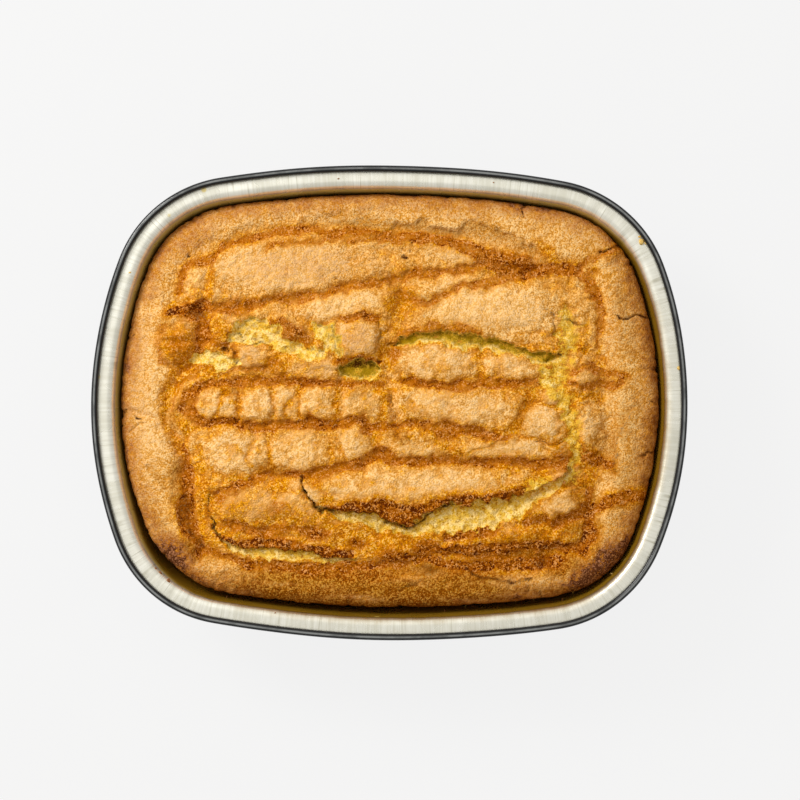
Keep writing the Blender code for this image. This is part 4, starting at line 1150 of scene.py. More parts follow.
@dataclass(frozen=True)
class Effects:
    """The shared shader effects; their sizes are given in millimetres."""

    grain: NodeTree
    specks: NodeTree

    @classmethod
    def build(cls) -> Effects:
        """Make each group once."""
        return cls(baked_grain_group(), specks_group())

    def add_grain(self, wiring: Wiring, place: object, *sizes: float) -> Node:
        """The baked grain, with grains, lumps and mottle of these sizes."""
        scales = zip(("Grit Scale", "Lump Scale", "Mottle Scale"), sizes)
        inputs = {"Place": place, **{socket: 1 / (size * MM) for socket, size in scales}}
        return wiring.node("ShaderNodeGroup", inputs, node_tree=self.grain)

    def add_specks(self, wiring: Wiring, place: object, size: float, share: float) -> Socket:
        """Small round spots: this share of cells of this size hold one."""
        inputs = {"Place": place, "Scale": 1 / (size * MM), "Share": share}
        return wiring.node("ShaderNodeGroup", inputs, node_tree=self.specks).outputs["Specks"]


@dataclass(frozen=True)
class Cover:
    """How the grain breaks up a mask: shares of grit and lumps, and where the covering starts and is full."""

    grit: float
    lumps: float
    start: float
    full: float


@dataclass(frozen=True)
class CrustFinish:
    """Golden granular crust, with toast, pale plates, amber glaze, dark syrup and bare crumb where masked,
    painted shade where masked, and painted glints on the glaze, the syrup and the burnt crust.
    """

    light: Colour = (0.88, 0.51, 0.17)
    middle: Colour = (0.80, 0.40, 0.090)
    gold: Colour = (0.72, 0.30, 0.012)
    deep: Colour = (0.47, 0.165, 0.004)
    pale: Colour = (0.92, 0.62, 0.28)
    plate: Colour = (0.78, 0.41, 0.102)
    plate_light: Colour = (0.91, 0.58, 0.26)
    toast: Colour = (0.62, 0.46, 0.36)
    burnt: Colour = (0.115, 0.035, 0.011)
    burnt_highlight: Colour = (0.42, 0.18, 0.080)
    broad_shade: Colour = (0.50, 0.34, 0.03)
    broad_shade_dark_grain: Colour = (0.14, 0.034, 0.001)
    broad_shade_light_grain: Colour = (0.68, 0.34, 0.06)
    amber: Colour = (0.56, 0.170, 0.001)
    amber_light: Colour = (0.82, 0.35, 0.004)
    amber_dark: Colour = (0.28, 0.054, 0.001)
    amber_painted_glint: Colour = (0.95, 0.57, 0.17)
    syrup: Colour = (0.25, 0.052, 0.001)
    syrup_light: Colour = (0.50, 0.155, 0.002)
    syrup_deep: Colour = (0.105, 0.018, 0.001)
    syrup_painted_glint: Colour = (0.78, 0.42, 0.17)
    crumb: Colour = (0.84, 0.52, 0.070)
    crumb_light: Colour = (0.97, 0.70, 0.25)
    crumb_pore: Colour = (0.50, 0.24, 0.004)
    crumb_shade: Colour = (0.35, 0.205, 0.005)
    crumb_edge_and_shade: Colour = (0.78, 0.44, 0.030)
    shade: Colour = (0.07, 0.018, 0.002)
    grit_size: float = 0.78
    lump_size: float = 2.2
    mottle_size: float = 9.0
    grit_rise: float = 0.27
    lump_rise: float = 0.17
    pit_size: float = 2.8
    pit_share: float = 0.14
    pit_strength: float = 0.5
    pore_size: float = 1.5
    pore_share: float = 0.22
    pore_strength: float = 0.9
    rough_grit: float = 0.8
    clot_grit: float = 0.6
    dark_grains: Span = (0.52, 0.14)
    dark_strength: float = 0.7
    light_grains: Span = (0.52, 0.90)
    light_strength: float = 0.85
    gold_lumps: Span = (0.75, 0.25, 0.0, 0.45)
    plate_grains: Span = (0.2, 0.8)
    burnt_highlight_grains: Span = (0.52, 0.92)
    amber_painted_glints: Span = (0.72, 0.95, 0.0, 0.75)
    broad_shade_strength: Span = (0.2, 0.9, 0.0, 0.55)
    syrup_clots: Span = (0.3, 0.7)
    syrup_painted_glints: Span = (0.74, 0.94, 0.0, 0.55)
    crumb_lumps: Span = (0.25, 0.75)
    crumb_pits: Span = (0.38, 0.05, 0.0, 0.6)
    pale_cover: Cover = Cover(0.1, 0.25, 0.1, 0.75)
    toast_cover: Cover = Cover(0.3, 0.5, 0.0, 0.9)
    burnt_cover: Cover = Cover(0.2, 0.3, 0.86, 1.15)
    amber_cover: Cover = Cover(0.25, 0.4, 0.12, 0.66)
    broad_shade_cover: Cover = Cover(0.2, 0.5, 0.0, 1.0)
    syrup_cover: Cover = Cover(0.4, 0.5, 0.15, 0.8)
    core_cover: Cover = Cover(-0.4, 0.4, 0.85, 1.5)
    gloom_cover: Cover = Cover(0.2, 0.4, 0.1, 0.9)
    edge_cover: Cover = Cover(0.4, 0.6, 0.08, 0.45)
    crumb_cover: Cover = Cover(0.3, 0.4, 0.35, 0.85)
    shade_cover: Cover = Cover(0.35, 0.15, 0.1, 0.95)
    dry: Span = (0.0, 1.0, 0.52, 0.66)
    amber_wet: float = 0.20
    syrup_wet: float = 0.28
    specular: float = 0.01

    def build(self, effects: Effects) -> Material:
        """Wire the material.

        Args:
            effects: The shared effects.

        Returns:
            The crust material.
        """
        made, wiring, shader = new_material("baked_crust")
        mix = wiring.mix
        times = wiring.times
        remap = wiring.remap
        place = wiring.node("ShaderNodeTexCoord").outputs["Object"]
        grain = effects.add_grain(wiring, place, self.grit_size, self.lump_size, self.mottle_size)
        grit = grain.outputs["Grit"]
        lumps = grain.outputs["Lumps"]
        masks = {mask: wiring.attribute(mask.value) for mask in Mask}

        def broken(mask: Mask, cover: Cover) -> Socket:
            """A mask broken up by the grain, and 0 where nothing is masked."""
            grain_share = times(wiring.less(grit, 0.5), 2.0 * cover.grit)
            lump_share = times(wiring.less(lumps, 0.5), 2.0 * cover.lumps)
            share = wiring.plus(wiring.plus(grain_share, lump_share), 1.0)
            return remap(times(masks[mask], share), cover.start, cover.full)

        rough = wiring.blend(grit, lumps, self.rough_grit)
        dark_grains = remap(rough, *self.dark_grains)
        light_grains = remap(rough, *self.light_grains)
        darkened = times(dark_grains, self.dark_strength)
        pits = effects.add_specks(wiring, place, self.pit_size, self.pit_share)
        colour = mix(grain.outputs["Mottle"], self.middle, self.light)
        colour = mix(remap(lumps, *self.gold_lumps), colour, self.gold)
        colour = mix(darkened, colour, self.deep)
        colour = mix(times(light_grains, self.light_strength), colour, self.pale)
        plate = mix(remap(rough, *self.plate_grains), self.plate, self.plate_light)
        colour = mix(broken(Mask.PALE, self.pale_cover), colour, plate)
        colour = mix(times(pits, self.pit_strength), colour, self.deep)
        colour = mix(broken(Mask.TOAST, self.toast_cover), colour, self.toast, "MULTIPLY")
        # Burnt crust, with painted highlights on its lighter grains.
        burnt = mix(remap(rough, *self.burnt_highlight_grains), self.burnt, self.burnt_highlight)
        colour = mix(broken(Mask.TOAST, self.burnt_cover), colour, burnt)
        glaze = mix(lumps, self.amber, self.amber_light)
        glaze = mix(darkened, glaze, self.amber_dark)
        # Painted glints on the glaze's lighter grains.
        glaze = mix(remap(rough, *self.amber_painted_glints), glaze, self.amber_painted_glint)
        colour = mix(broken(Mask.AMBER, self.amber_cover), colour, glaze)
        # Painted shade: a broad darker tint where that mask lies, with darker and lighter grains of its own.
        colour = mix(broken(Mask.BROAD_SHADE, self.broad_shade_cover), colour, self.broad_shade, "MULTIPLY")
        broad_shade = remap(masks[Mask.BROAD_SHADE], *self.broad_shade_strength)
        colour = mix(times(dark_grains, broad_shade), colour, self.broad_shade_dark_grain)
        colour = mix(times(light_grains, broad_shade), colour, self.broad_shade_light_grain)
        clots = remap(wiring.blend(grit, lumps, self.clot_grit), *self.syrup_clots)
        syrup = mix(clots, self.syrup, self.syrup_light)
        # Painted glints on the syrup's lighter grains.
        syrup = mix(remap(rough, *self.syrup_painted_glints), syrup, self.syrup_painted_glint)
        syrup_mask = broken(Mask.SYRUP, self.syrup_cover)
        colour = mix(syrup_mask, colour, syrup)
        colour = mix(broken(Mask.SYRUP, self.core_cover), colour, self.syrup_deep)
        inside = mix(remap(lumps, *self.crumb_lumps), self.crumb, self.crumb_light)
        inside = mix(remap(grit, *self.crumb_pits), inside, self.crumb_pore)
        pores = effects.add_specks(wiring, place, self.pore_size, self.pore_share)
        inside = mix(times(pores, self.pore_strength), inside, self.crumb_pore)
        inside = mix(broken(Mask.GLOOM, self.gloom_cover), inside, self.crumb_shade)
        # The crumb's browned edge colour, also used as painted shade under a tear's lip.
        colour = mix(broken(Mask.CRUMB, self.edge_cover), colour, self.crumb_edge_and_shade)
        colour = mix(broken(Mask.CRUMB, self.crumb_cover), colour, inside)
        colour = mix(broken(Mask.SHADE, self.shade_cover), colour, self.shade)
        wiring.feed(shader.inputs["Base Color"], colour)

        amber_wet = times(masks[Mask.AMBER], self.amber_wet)
        wet = wiring.math("MAXIMUM", amber_wet, times(syrup_mask, self.syrup_wet))
        wiring.feed(shader.inputs["Roughness"], wiring.less(remap(lumps, *self.dry), wet))
        grains_up = times(grain.outputs["Rise"], self.grit_rise)
        height = wiring.plus(times(lumps, self.lump_rise), grains_up)
        wiring.feed(shader.inputs["Normal"], wiring.bump(height, 1.0))
        shader.inputs["Specular IOR Level"].default_value = self.specular
        return made


@dataclass(frozen=True)
class CrumbFinish:
    """A fallen crumb: soft yellow inside or browned crust."""

    name: str
    dark: Colour
    light: Colour
    grit_size: float = 0.4
    lump_size: float = 0.7
    mottle_size: float = 3.0
    rise: float = 0.12
    roughness: float = 0.7

    def build(self, effects: Effects) -> Material:
        """Wire the material."""
        made, wiring, shader = new_material(self.name)
        place = wiring.node("ShaderNodeTexCoord").outputs["Object"]
        grain = effects.add_grain(wiring, place, self.grit_size, self.lump_size, self.mottle_size)
        wiring.feed(shader.inputs["Base Color"], wiring.mix(grain.outputs["Lumps"], self.dark, self.light))
        wiring.feed(shader.inputs["Normal"], wiring.bump(grain.outputs["Grit"], self.rise))
        shader.inputs["Roughness"].default_value = self.roughness
        return made


@dataclass(frozen=True)
class FoilFinish:
    """Champagne foil: rolled sheet with fine ridges across the rim and painted shade in its fine creases, a
    baked-on film that is partly a painted reflection of the loaf, and baked-on brown low on the wall that is
    partly painted shade in the gap and on the right and front walls.

    Distances down the profile and heights of the film are in metres; noises are size, detail and roughness.
    """

    metal: Colour = (0.88, 0.88, 0.80)
    metal_dark: Colour = (0.72, 0.71, 0.61)
    creased: Colour = (0.40, 0.38, 0.27)
    residue_and_loaf_reflection: Colour = (0.74, 0.57, 0.15)
    scorch_and_gap_shade: Colour = (0.30, 0.165, 0.010)
    drawn_out: float = 0.045
    ridges: Span = (0.75, 2.0, 0.6)
    bars: Span = (3.4, 3.0, 0.62)
    clouds: Span = (14.0, 3.0, 0.5)
    tint: Span = (0.36, 0.64)
    creases: Span = (5.0, 1.0, 0.5)
    crease_width: float = 0.024
    crease_clouds: Span = (0.47, 0.64, 0.0, 0.6)
    splashes: Span = (5.0, 4.0, 0.6)
    splash_height: float = 0.003
    film: Span = (0.0130, 0.0158)
    side_shade_toward: Place = (0.6, -0.8, 0.0)
    side_shade: Span = (-0.03, 0.04, 0.0, 0.008)
    burnt: Span = (0.0168, 0.0225)
    speck_size: float = 3.2
    speck_share: float = 0.012
    speck_strength: float = 0.75
    metallic: Span = (0.0, 1.0, 0.6, 0.2)
    roughness: Span = (0.3, 0.7, 0.22, 0.34)
    ridge_rise: float = 0.03
    bar_rise: float = 0.10
    bump: float = 0.5

    def build(self, effects: Effects) -> Material:
        """Wire the material; the UV map gives metres along the rim and down the profile."""
        made, wiring, shader = new_material("champagne_foil")
        uv = wiring.node("ShaderNodeUVMap", uv_map="UVMap").outputs["UV"]
        place = wiring.node("ShaderNodeTexCoord").outputs["Object"]
        down = wiring.node("ShaderNodeSeparateXYZ", {"Vector": uv}).outputs["Y"]
        stretch = (1.0, self.drawn_out, 1.0)
        across = wiring.node("ShaderNodeMapping", {"Vector": uv, "Scale": stretch}).outputs["Vector"]
        ridges = wiring.noise(across, *self.ridges)
        bars = wiring.noise(across, *self.bars)
        cloud = wiring.noise(place, *self.clouds)
        tint = wiring.remap(wiring.blend(ridges, cloud, 0.5), *self.tint)
        metal = wiring.mix(tint, self.metal_dark, self.metal)
        # Painted shade in the fine creases.
        off_crease = wiring.math("ABSOLUTE", wiring.less(wiring.noise(across, *self.creases), 0.5))
        creases = wiring.remap(off_crease, self.crease_width, 0.0)
        creases = wiring.times(creases, wiring.remap(cloud, *self.crease_clouds))
        metal = wiring.mix(creases, metal, self.creased)
        splash = wiring.less(wiring.noise(place, *self.splashes), 0.5)
        level = wiring.plus(down, wiring.times(splash, self.splash_height))
        film = wiring.remap(level, *self.film)
        # The baked-on film, partly a painted reflection of the loaf's side.
        colour = wiring.mix(film, metal, self.residue_and_loaf_reflection)
        # Brown low on the wall: baked-on scorch and painted shade in the gap, reaching higher on the right
        # and front walls as painted shade.
        side = wiring.node("ShaderNodeVectorMath", {0: place, 1: self.side_shade_toward}, operation="DOT_PRODUCT")
        side_shade = wiring.remap(side.outputs["Value"], *self.side_shade)
        colour = wiring.mix(wiring.remap(wiring.plus(level, side_shade), *self.burnt), colour, self.scorch_and_gap_shade)
        specks = effects.add_specks(wiring, place, self.speck_size, self.speck_share)
        colour = wiring.mix(wiring.times(specks, self.speck_strength), colour, self.residue_and_loaf_reflection)
        wiring.feed(shader.inputs["Base Color"], colour)
        wiring.feed(shader.inputs["Metallic"], wiring.remap(film, *self.metallic))
        wiring.feed(shader.inputs["Roughness"], wiring.remap(cloud, *self.roughness))
        relief = wiring.plus(wiring.times(ridges, self.ridge_rise), wiring.times(bars, self.bar_rise))
        wiring.feed(shader.inputs["Normal"], wiring.bump(relief, 1.0, self.bump))
        return made


@dataclass(frozen=True)
class LacquerFinish:
    """Black stoved lacquer on the foil's outside, with faint dust and scuffs, and a painted highlight along
    the crown of the curled rim.

    Distances down the profile are in metres; noises are size, detail and roughness, and one is distorted.
    """

    black: Colour = (0.006, 0.007, 0.008)
    grey: Colour = (0.024, 0.026, 0.028)
    painted_crown_highlight: Colour = (0.20, 0.21, 0.21)
    clouds: Span = (9.0, 4.0, 0.6)
    scuffs: Span = (0.9, 3.0, 0.65, 0.4)
    scuffed: Span = (0.28, 0.50)
    dust_size: float = 1.6
    dust_share: float = 0.02
    dust_strength: float = 0.6
    crown_down: float = 0.00192
    crown: Span = (0.0005, 0.0001)
    patches: Span = (0.3, 0.6, 0.4, 1.0)
    roughness: Span = (0.3, 0.7, 0.14, 0.26)
    specular: float = 0.3
    dimples: Span = (4.0, 2.0)
    dimple_rise: float = 0.06
    bump: float = 0.5

    def build(self, effects: Effects) -> Material:
        """Wire the material."""
        made, wiring, shader = new_material("black_lacquer_foil")
        place = wiring.node("ShaderNodeTexCoord").outputs["Object"]
        cloud = wiring.noise(place, *self.clouds)
        scuffs = wiring.noise(place, *self.scuffs)
        scuffed = wiring.remap(wiring.times(cloud, scuffs), *self.scuffed)
        dust = effects.add_specks(wiring, place, self.dust_size, self.dust_share)
        marks = wiring.math("MAXIMUM", scuffed, wiring.times(dust, self.dust_strength))
        uv = wiring.node("ShaderNodeUVMap", uv_map="UVMap").outputs["UV"]
        down = wiring.node("ShaderNodeSeparateXYZ", {"Vector": uv}).outputs["Y"]
        # A painted highlight along the crown of the curled rim, in patches.
        off_crown = wiring.math("ABSOLUTE", wiring.less(down, self.crown_down))
        crown_highlight = wiring.times(wiring.remap(off_crown, *self.crown), wiring.remap(cloud, *self.patches))
        colour = wiring.mix(crown_highlight, wiring.mix(marks, self.black, self.grey), self.painted_crown_highlight)
        wiring.feed(shader.inputs["Base Color"], colour)
        wiring.feed(shader.inputs["Roughness"], wiring.remap(cloud, *self.roughness))
        shader.inputs["Specular IOR Level"].default_value = self.specular
        dimples = wiring.noise(place, *self.dimples)
        wiring.feed(shader.inputs["Normal"], wiring.bump(dimples, self.dimple_rise, self.bump))
        return made


@dataclass(frozen=True)
class FloorFinish:
    """A pale matt table top, lit from below as a light table is, so that shadows on it stay faint."""

    light: Colour = (0.062, 0.062, 0.062)
    dark: Colour = (0.056, 0.056, 0.056)
    mottle_size: float = 40.0
    roughness: float = 0.9
    glow: float = 0.845

    def build(self) -> Material:
        """Wire the material."""
        made, wiring, shader = new_material("pale_table")
        place = wiring.node("ShaderNodeTexCoord").outputs["Object"]
        mottle = wiring.noise(place, self.mottle_size)
        wiring.feed(shader.inputs["Base Color"], wiring.mix(mottle, self.dark, self.light))
        shader.inputs["Roughness"].default_value = self.roughness
        shader.inputs["Specular IOR Level"].default_value = 0.0
        shader.inputs["Emission Color"].default_value = (1.0, 1.0, 1.0, 1.0)
        shader.inputs["Emission Strength"].default_value = self.glow
        return made


# The foil tin


@dataclass(frozen=True)
class FoilTin:
    """The tin as one thin two-faced sheet: curled rim, flange, shoulder, smooth wall and floor."""

    plan: TinPlan
    top: float
    sheet: float = 0.2
    bead: float = 2.4
    bead_turn: Span = (-90.0, 190.0)
    bead_steps: int = 20
    flange_end: float = 5.4
    flange_steps: int = 6
    flange_fall: float = -0.10
    shoulder_radius: float = 2.5
    shoulder_steps: int = 8
    wall_lean: float = 6.6
    wall_steps: int = 12
    floor_fillet: float = 9.0
    fillet_steps: int = 7
    floor_lap: float = 6.0
    around: int = 560
    crease_gap: Span = (5.0, 11.0)
    corner_crease_gap: Span = (2.2, 4.5)
    crowding: Span = (0.2, 0.8)
    crease_width: Span = (0.8, 1.5)
    crease_depth: Span = (-0.07, 0.10)
    side_gain: float = 0.8
    corner_gain: float = 1.2
    cornered: Ramp = Ramp(0.22, 0.3)
    wall_fade: float = 0.6
    fillet_creased: float = 0.3
    dents: Roughness = Roughness(34.0, 77, 2)
    dent_depth: float = 0.10
    seam: float = 12.0
    waves: int = 9
    wave_depth: float = 0.10
    wave_phase: float = 0.7
    weld: float = 0.01
    smooth_angle: float = 50.0
    seed: int = 41

    def profile(self) -> Array:
        """Middle line of the sheet from the curl's raw edge to the floor.

        Returns:
            Rows of inset from the rim, height, and how far the row may be creased.
        """
        radius = (self.bead - self.sheet) / 2
        centre_height = self.top - self.bead / 2
        rows = []
        for turn in np.radians(np.linspace(self.bead_turn[1], self.bead_turn[0], self.bead_steps + 1)):
            inset = self.bead / 2 - radius * math.cos(turn)
            rows.append((inset, centre_height + radius * math.sin(turn), 0.0))
        start, level, _ = rows[-1]
        for part in np.linspace(0.0, 1.0, self.flange_steps + 1)[1:-1]:
            inset = start + (self.flange_end - start) * part
            rows.append((inset, level - self.flange_fall * part, float(part)))
        pivot = level - self.flange_fall - self.shoulder_radius
        lean = math.radians(self.wall_lean)
        for turn in np.linspace(0.0, math.pi / 2 - lean, self.shoulder_steps + 1):
            rows.append((self.flange_end + self.shoulder_radius * math.sin(turn),
                         pivot + self.shoulder_radius * math.cos(turn), 1.0))
        floor = self.sheet / 2
        low = floor + self.floor_fillet * (1 - math.sin(lean))
        brow, high, _ = rows[-1]
        foot = brow + (high - low) * math.tan(lean)
        for part in np.linspace(0.0, 1.0, self.wall_steps + 1)[1:-1]:
            inset = brow + (foot - brow) * part
            rows.append((inset, high + (low - high) * part, 1.0 - self.wall_fade * part))
        middle = foot + self.floor_fillet * math.cos(lean)
        for turn in np.linspace(lean, math.pi / 2, self.fillet_steps + 1):
            rows.append((middle - self.floor_fillet * math.cos(turn),
                         floor + self.floor_fillet * (1 - math.sin(turn)),
                         self.fillet_creased * math.cos(turn)))
        rows.append((middle + self.floor_lap, floor, 0.0))
        return np.array(rows)

    def inner_height(self, inset: float) -> float:
        """Height of the sheet's inner face this far in from the rim, on the flange, shoulder or wall."""
        rows = self.profile()[self.bead_steps :]
        return float(np.interp(inset, rows[:, 0], rows[:, 1])) + self.sheet / 2

    def creases(self, rim: Array) -> Array:
        """How deep the sheet is creased at each place round the rim, in millimetres."""
        random = np.random.default_rng(self.seed)
        total = rim[-1, 4]
        depth = np.zeros(len(rim))
        corner = self.cornered.up(np.minimum(abs(rim[:, 2]), abs(rim[:, 3])))
        along = 0.0
        while along < total:
            crowded = float(np.interp(along, rim[:, 4], corner)) > random.uniform(*self.crowding)
            along += random.uniform(*(self.corner_crease_gap if crowded else self.crease_gap))
            wide = random.uniform(*self.crease_width)
            deep = random.uniform(*self.crease_depth) * (self.corner_gain if crowded else self.side_gain)
            apart = abs(rim[:, 4] - along)
            depth += deep * np.exp(-((np.minimum(apart, total - apart) / wide) ** 2))
        return depth

    def build(self, effects: Effects) -> Thing:
        """Wrap a grid round the outline, close the floor and give the sheet its thickness.

        Args:
            effects: The shared shader effects, for the finishes of the two faces.

        Returns:
            The tin, with the lacquer face in slot 0 and the foil face in slot 1.
        """
        rows = self.profile()
        count = len(rows) - 1
        tin = new_grid("two_faced_foil_tin", self.around, count)
        column, row = grid_cells(tin, self.around, count)
        rim = self.plan.even_rim(self.around)
        direction = np.gradient(rows[:, :2], axis=0)
        direction /= np.maximum(np.hypot(direction[:, 0], direction[:, 1]), TINY)[:, None]
        crease = self.creases(rim)
        crease[-1] = crease[0]
        length = run_lengths(rows)
        dent = self.dents.at(rim[column, 4], length[row]) * rows[row, 2] * self.dent_depth
        seam = ease(np.minimum(rim[column, 4], rim[-1, 4] - rim[column, 4]) / self.seam)
        offset = crease[column] * rows[row, 2] + dent * seam
        turns = rim[column, 4] * 2 * math.pi * self.waves / rim[-1, 4] + self.wave_phase
        wave = self.wave_depth * (1.0 + np.sin(turns))
        inset = rows[row, 0] + offset * -direction[row, 1] + wave
        height = rows[row, 1] + offset * direction[row, 0]
        x = rim[column, 0] - inset * rim[column, 2]
        y = rim[column, 1] - inset * rim[column, 3]
        write_vertices(tin, np.column_stack([x, y, height]) * MM)
        self.lay_map(tin, rim, length)
        bpy.ops.object.mode_set(mode="EDIT")
        bpy.ops.mesh.select_all(action="SELECT")
        bpy.ops.mesh.remove_doubles(threshold=self.weld * MM)
        bpy.ops.object.mode_set(mode="OBJECT")
        close_flat_hole(tin)
        self.turn_outwards(tin)
        tin.data.materials.append(LacquerFinish().build(effects))
        tin.data.materials.append(FoilFinish().build(effects))
        tin.modifiers.new("sheet", "SOLIDIFY")
        sheet = tin.modifiers["sheet"]
        sheet.thickness = self.sheet * MM
        sheet.offset = 0.0
        sheet.use_even_offset = True
        sheet.material_offset = 1
        bpy.ops.object.modifier_apply(modifier="sheet")
        bpy.ops.object.shade_smooth_by_angle(angle=math.radians(self.smooth_angle))
        return tin

    def lay_map(self, tin: Thing, rim: Array, length: Array) -> None:
        """Write the UV map in metres: along the rim, and down the profile."""
        layer = tin.data.uv_layers[0]
        layer.name = "UVMap"
        flat = np.empty(len(layer.data) * 2)
        layer.data.foreach_get("uv", flat)
        flat = flat.reshape(-1, 2)
        column = np.rint(flat[:, 0] * self.around).astype(int)
        row = np.rint(flat[:, 1] * (len(length) - 1)).astype(int)
        laid = np.column_stack([rim[column, 4], length[row]]) * MM
        layer.data.foreach_set("uv", laid.astype(np.float32).ravel())

    def turn_outwards(self, tin: Thing) -> None:
        """Make the floor face down, and with it every face point out of the tin."""
        floor = max(tin.data.polygons, key=lambda face: len(face.vertices))
        if floor.normal.z > 0:
            bpy.ops.object.mode_set(mode="EDIT")
            bpy.ops.mesh.select_all(action="SELECT")
            bpy.ops.mesh.flip_normals()
            bpy.ops.object.mode_set(mode="OBJECT")


# The loaf


@dataclass(frozen=True)
class Glaze:
    """The lumps and creases of the loaf's middle, and the amber glaze that lies between its plates."""

    middle: Ramp = Ramp(15.0, 8.0)
    firm: float = 0.6
    cushions: Roughness = Roughness(10.0, 261, 2)
    cushion_rise: float = 0.50
    creases: Roughness = Roughness(9.0, 271, 2)
    crease: Ramp = Ramp(0.0, 0.30)
    crease_depth: float = 0.50
    vein: Ramp = Ramp(0.0, 0.18)
    vein_strength: float = 0.45
    threads: Roughness = Roughness(4.4, 301, 2)
    thread: Ramp = Ramp(0.0, 0.24)
    thread_depth: float = 0.25
    thread_strength: float = 0.4
    seam: Ramp = Ramp(0.0, 3.0)
    seam_outside: Ramp = Ramp(-3.5, 2.0)
    seam_depth: float = 0.45
    seam_strength: float = 0.75
    plated: Ramp = Ramp(0.12, 0.6)
    bare: float = 0.30
    bare_in_front: float = 0.52
    front: Ramp = Ramp(-18.0, 26.0)
    veins_at_back: float = 0.25
    veined: Ramp = Ramp(34.0, 14.0)
    most: float = 0.9
    uneven: Roughness = Roughness(6.0, 281, 2)
    evenly: float = 0.85
    unevenly: float = 0.45
    patches: Roughness = Roughness(5.5, 311, 3)
    patch: Ramp = Ramp(0.2, 0.30)
    patch_strength: float = 0.45
    patches_back: Ramp = Ramp(34.0, 8.0)
    patches_front: Ramp = Ramp(-46.0, 10.0)
    plates: Roughness = Roughness(8.0, 291, 2)
    plate: Ramp = Ramp(0.5, 0.5)
    plate_pale: float = 0.75
    plate_uneven: float = 0.6

    def shape(self, top: TopField, x: Array, y: Array, inward: Array) -> None:
        """Make the middle lumpy, and pool the glaze between the plates."""
        middle = self.middle.up(inward)
        creases = np.abs(self.creases.at(x, y))
        loose = 1.0 - self.firm * top.cover
        cushions = self.cushion_rise * self.cushions.at(x, y)
        top.relief += middle * loose * (cushions - self.crease_depth * (1.0 - self.crease.up(creases)))
        in_front = self.bare + self.bare_in_front * self.front.down(y)
        bare = (1.0 - self.plated.up(top.cover)) * in_front
        seam = (1.0 - self.seam.up(top.next_nearest - top.nearest)) * self.seam_outside.up(top.nearest)
        vein = self.vein_strength * (1.0 - self.vein.up(creases))
        thread = 1.0 - self.thread.up(np.abs(self.threads.at(x, y)))
        top.relief -= middle * (self.thread_depth * thread + self.seam_depth * seam)
        veins = np.maximum(np.maximum(vein, self.thread_strength * thread), self.seam_strength * seam)
        veins *= self.veins_at_back + (1.0 - self.veins_at_back) * self.veined.down(y)
        broken = self.evenly + self.unevenly * self.uneven.at(x, y)
        rows = self.patches_back.down(y) * self.patches_front.up(y)
        patches = self.patch_strength * rows * self.patch.up(self.patches.at(x, y))
        pooled = np.clip(bare + veins, 0.0, self.most) * broken
        top.cover_all(Mask.AMBER, middle * np.maximum(pooled, patches))
        plates = 1.0 + self.plate_uneven * self.plates.at(x, y)
        top.cover_all(Mask.PALE, self.plate_pale * middle * self.plate.up(top.cover) * plates)


@dataclass(frozen=True)
class Weather:
    """What isn't drawn by hand: uneven crust, pitted crumb, the border's toasting, and painted shade along
    the border's front and right side.
    """

    middle: Ramp = Ramp(14.0, 10.0)
    crust: tuple[tuple[Roughness, float, float], ...] = (
        (Roughness(15.0, 201, 2), 0.22, 0.30),
        (Roughness(5.0, 211, 2), 0.10, 0.22),
        (Roughness(2.0, 221, 1), 0.13, 0.0),
    )
    crumb: Roughness = Roughness(3.0, 231, 2)
    crumb_rise: float = 0.28
    pits: Roughness = Roughness(2.0, 241, 1)
    pit: Ramp = Ramp(0.35, 0.3)
    pit_depth: float = 0.6
    edge_brown: tuple[tuple[float, float], ...] = ((0.62, 6.5), (0.16, 16.0))
    patches: Roughness = Roughness(9.0, 251, 3)
    patchy: float = 0.5
    front: Ramp = Ramp(-58.0, 8.0)
    front_least: float = 0.4
    front_middle: float = -6.0
    front_half: Ramp = Ramp(58.0, 34.0)
    right: Ramp = Ramp(78.0, 8.0)
    right_shade: float = 0.30
    streaks: Roughness = Roughness(6.0, 321, 3)
    streak_stretch: tuple[float, float] = (0.25, 1.5)
    streaky: float = 0.7

    def shape(self, top: TopField, x: Array, y: Array, inward: Array) -> None:
        """Roughen the crust and the crumb, brown the border, and paint shade along its front and right side.
        """
        middle = self.middle.up(inward)
        for noise, rise, more in self.crust:
            top.relief += (rise + more * middle) * noise.at(x, y)
        crumb = top.masks[Mask.CRUMB]
        top.relief += crumb * self.crumb_rise * self.crumb.at(x, y)
        top.relief -= crumb * self.pit_depth * self.pit.up(self.pits.at(x, y))
        brown = sum(strength * np.exp(-((inward / reach) ** 2)) for strength, reach in self.edge_brown)
        uneven = 1.0 + self.patchy * self.patches.at(x, y)
        top.cover_all(Mask.TOAST, brown * uneven)
        # Painted shade, in streaks, along the front of the border where it slopes away from the light, and on
        # the right side.
        along = self.front_half.down(abs(x - self.front_middle))
        front = self.front.down(y) * (self.front_least + (1.0 - self.front_least) * along)
        streaks = 1.0 + self.streaky * self.streaks.at(self.streak_stretch[0] * x, self.streak_stretch[1] * y)
        top.cover_all(Mask.BROAD_SHADE, np.maximum(front * streaks, self.right_shade * self.right.up(x) * uneven))


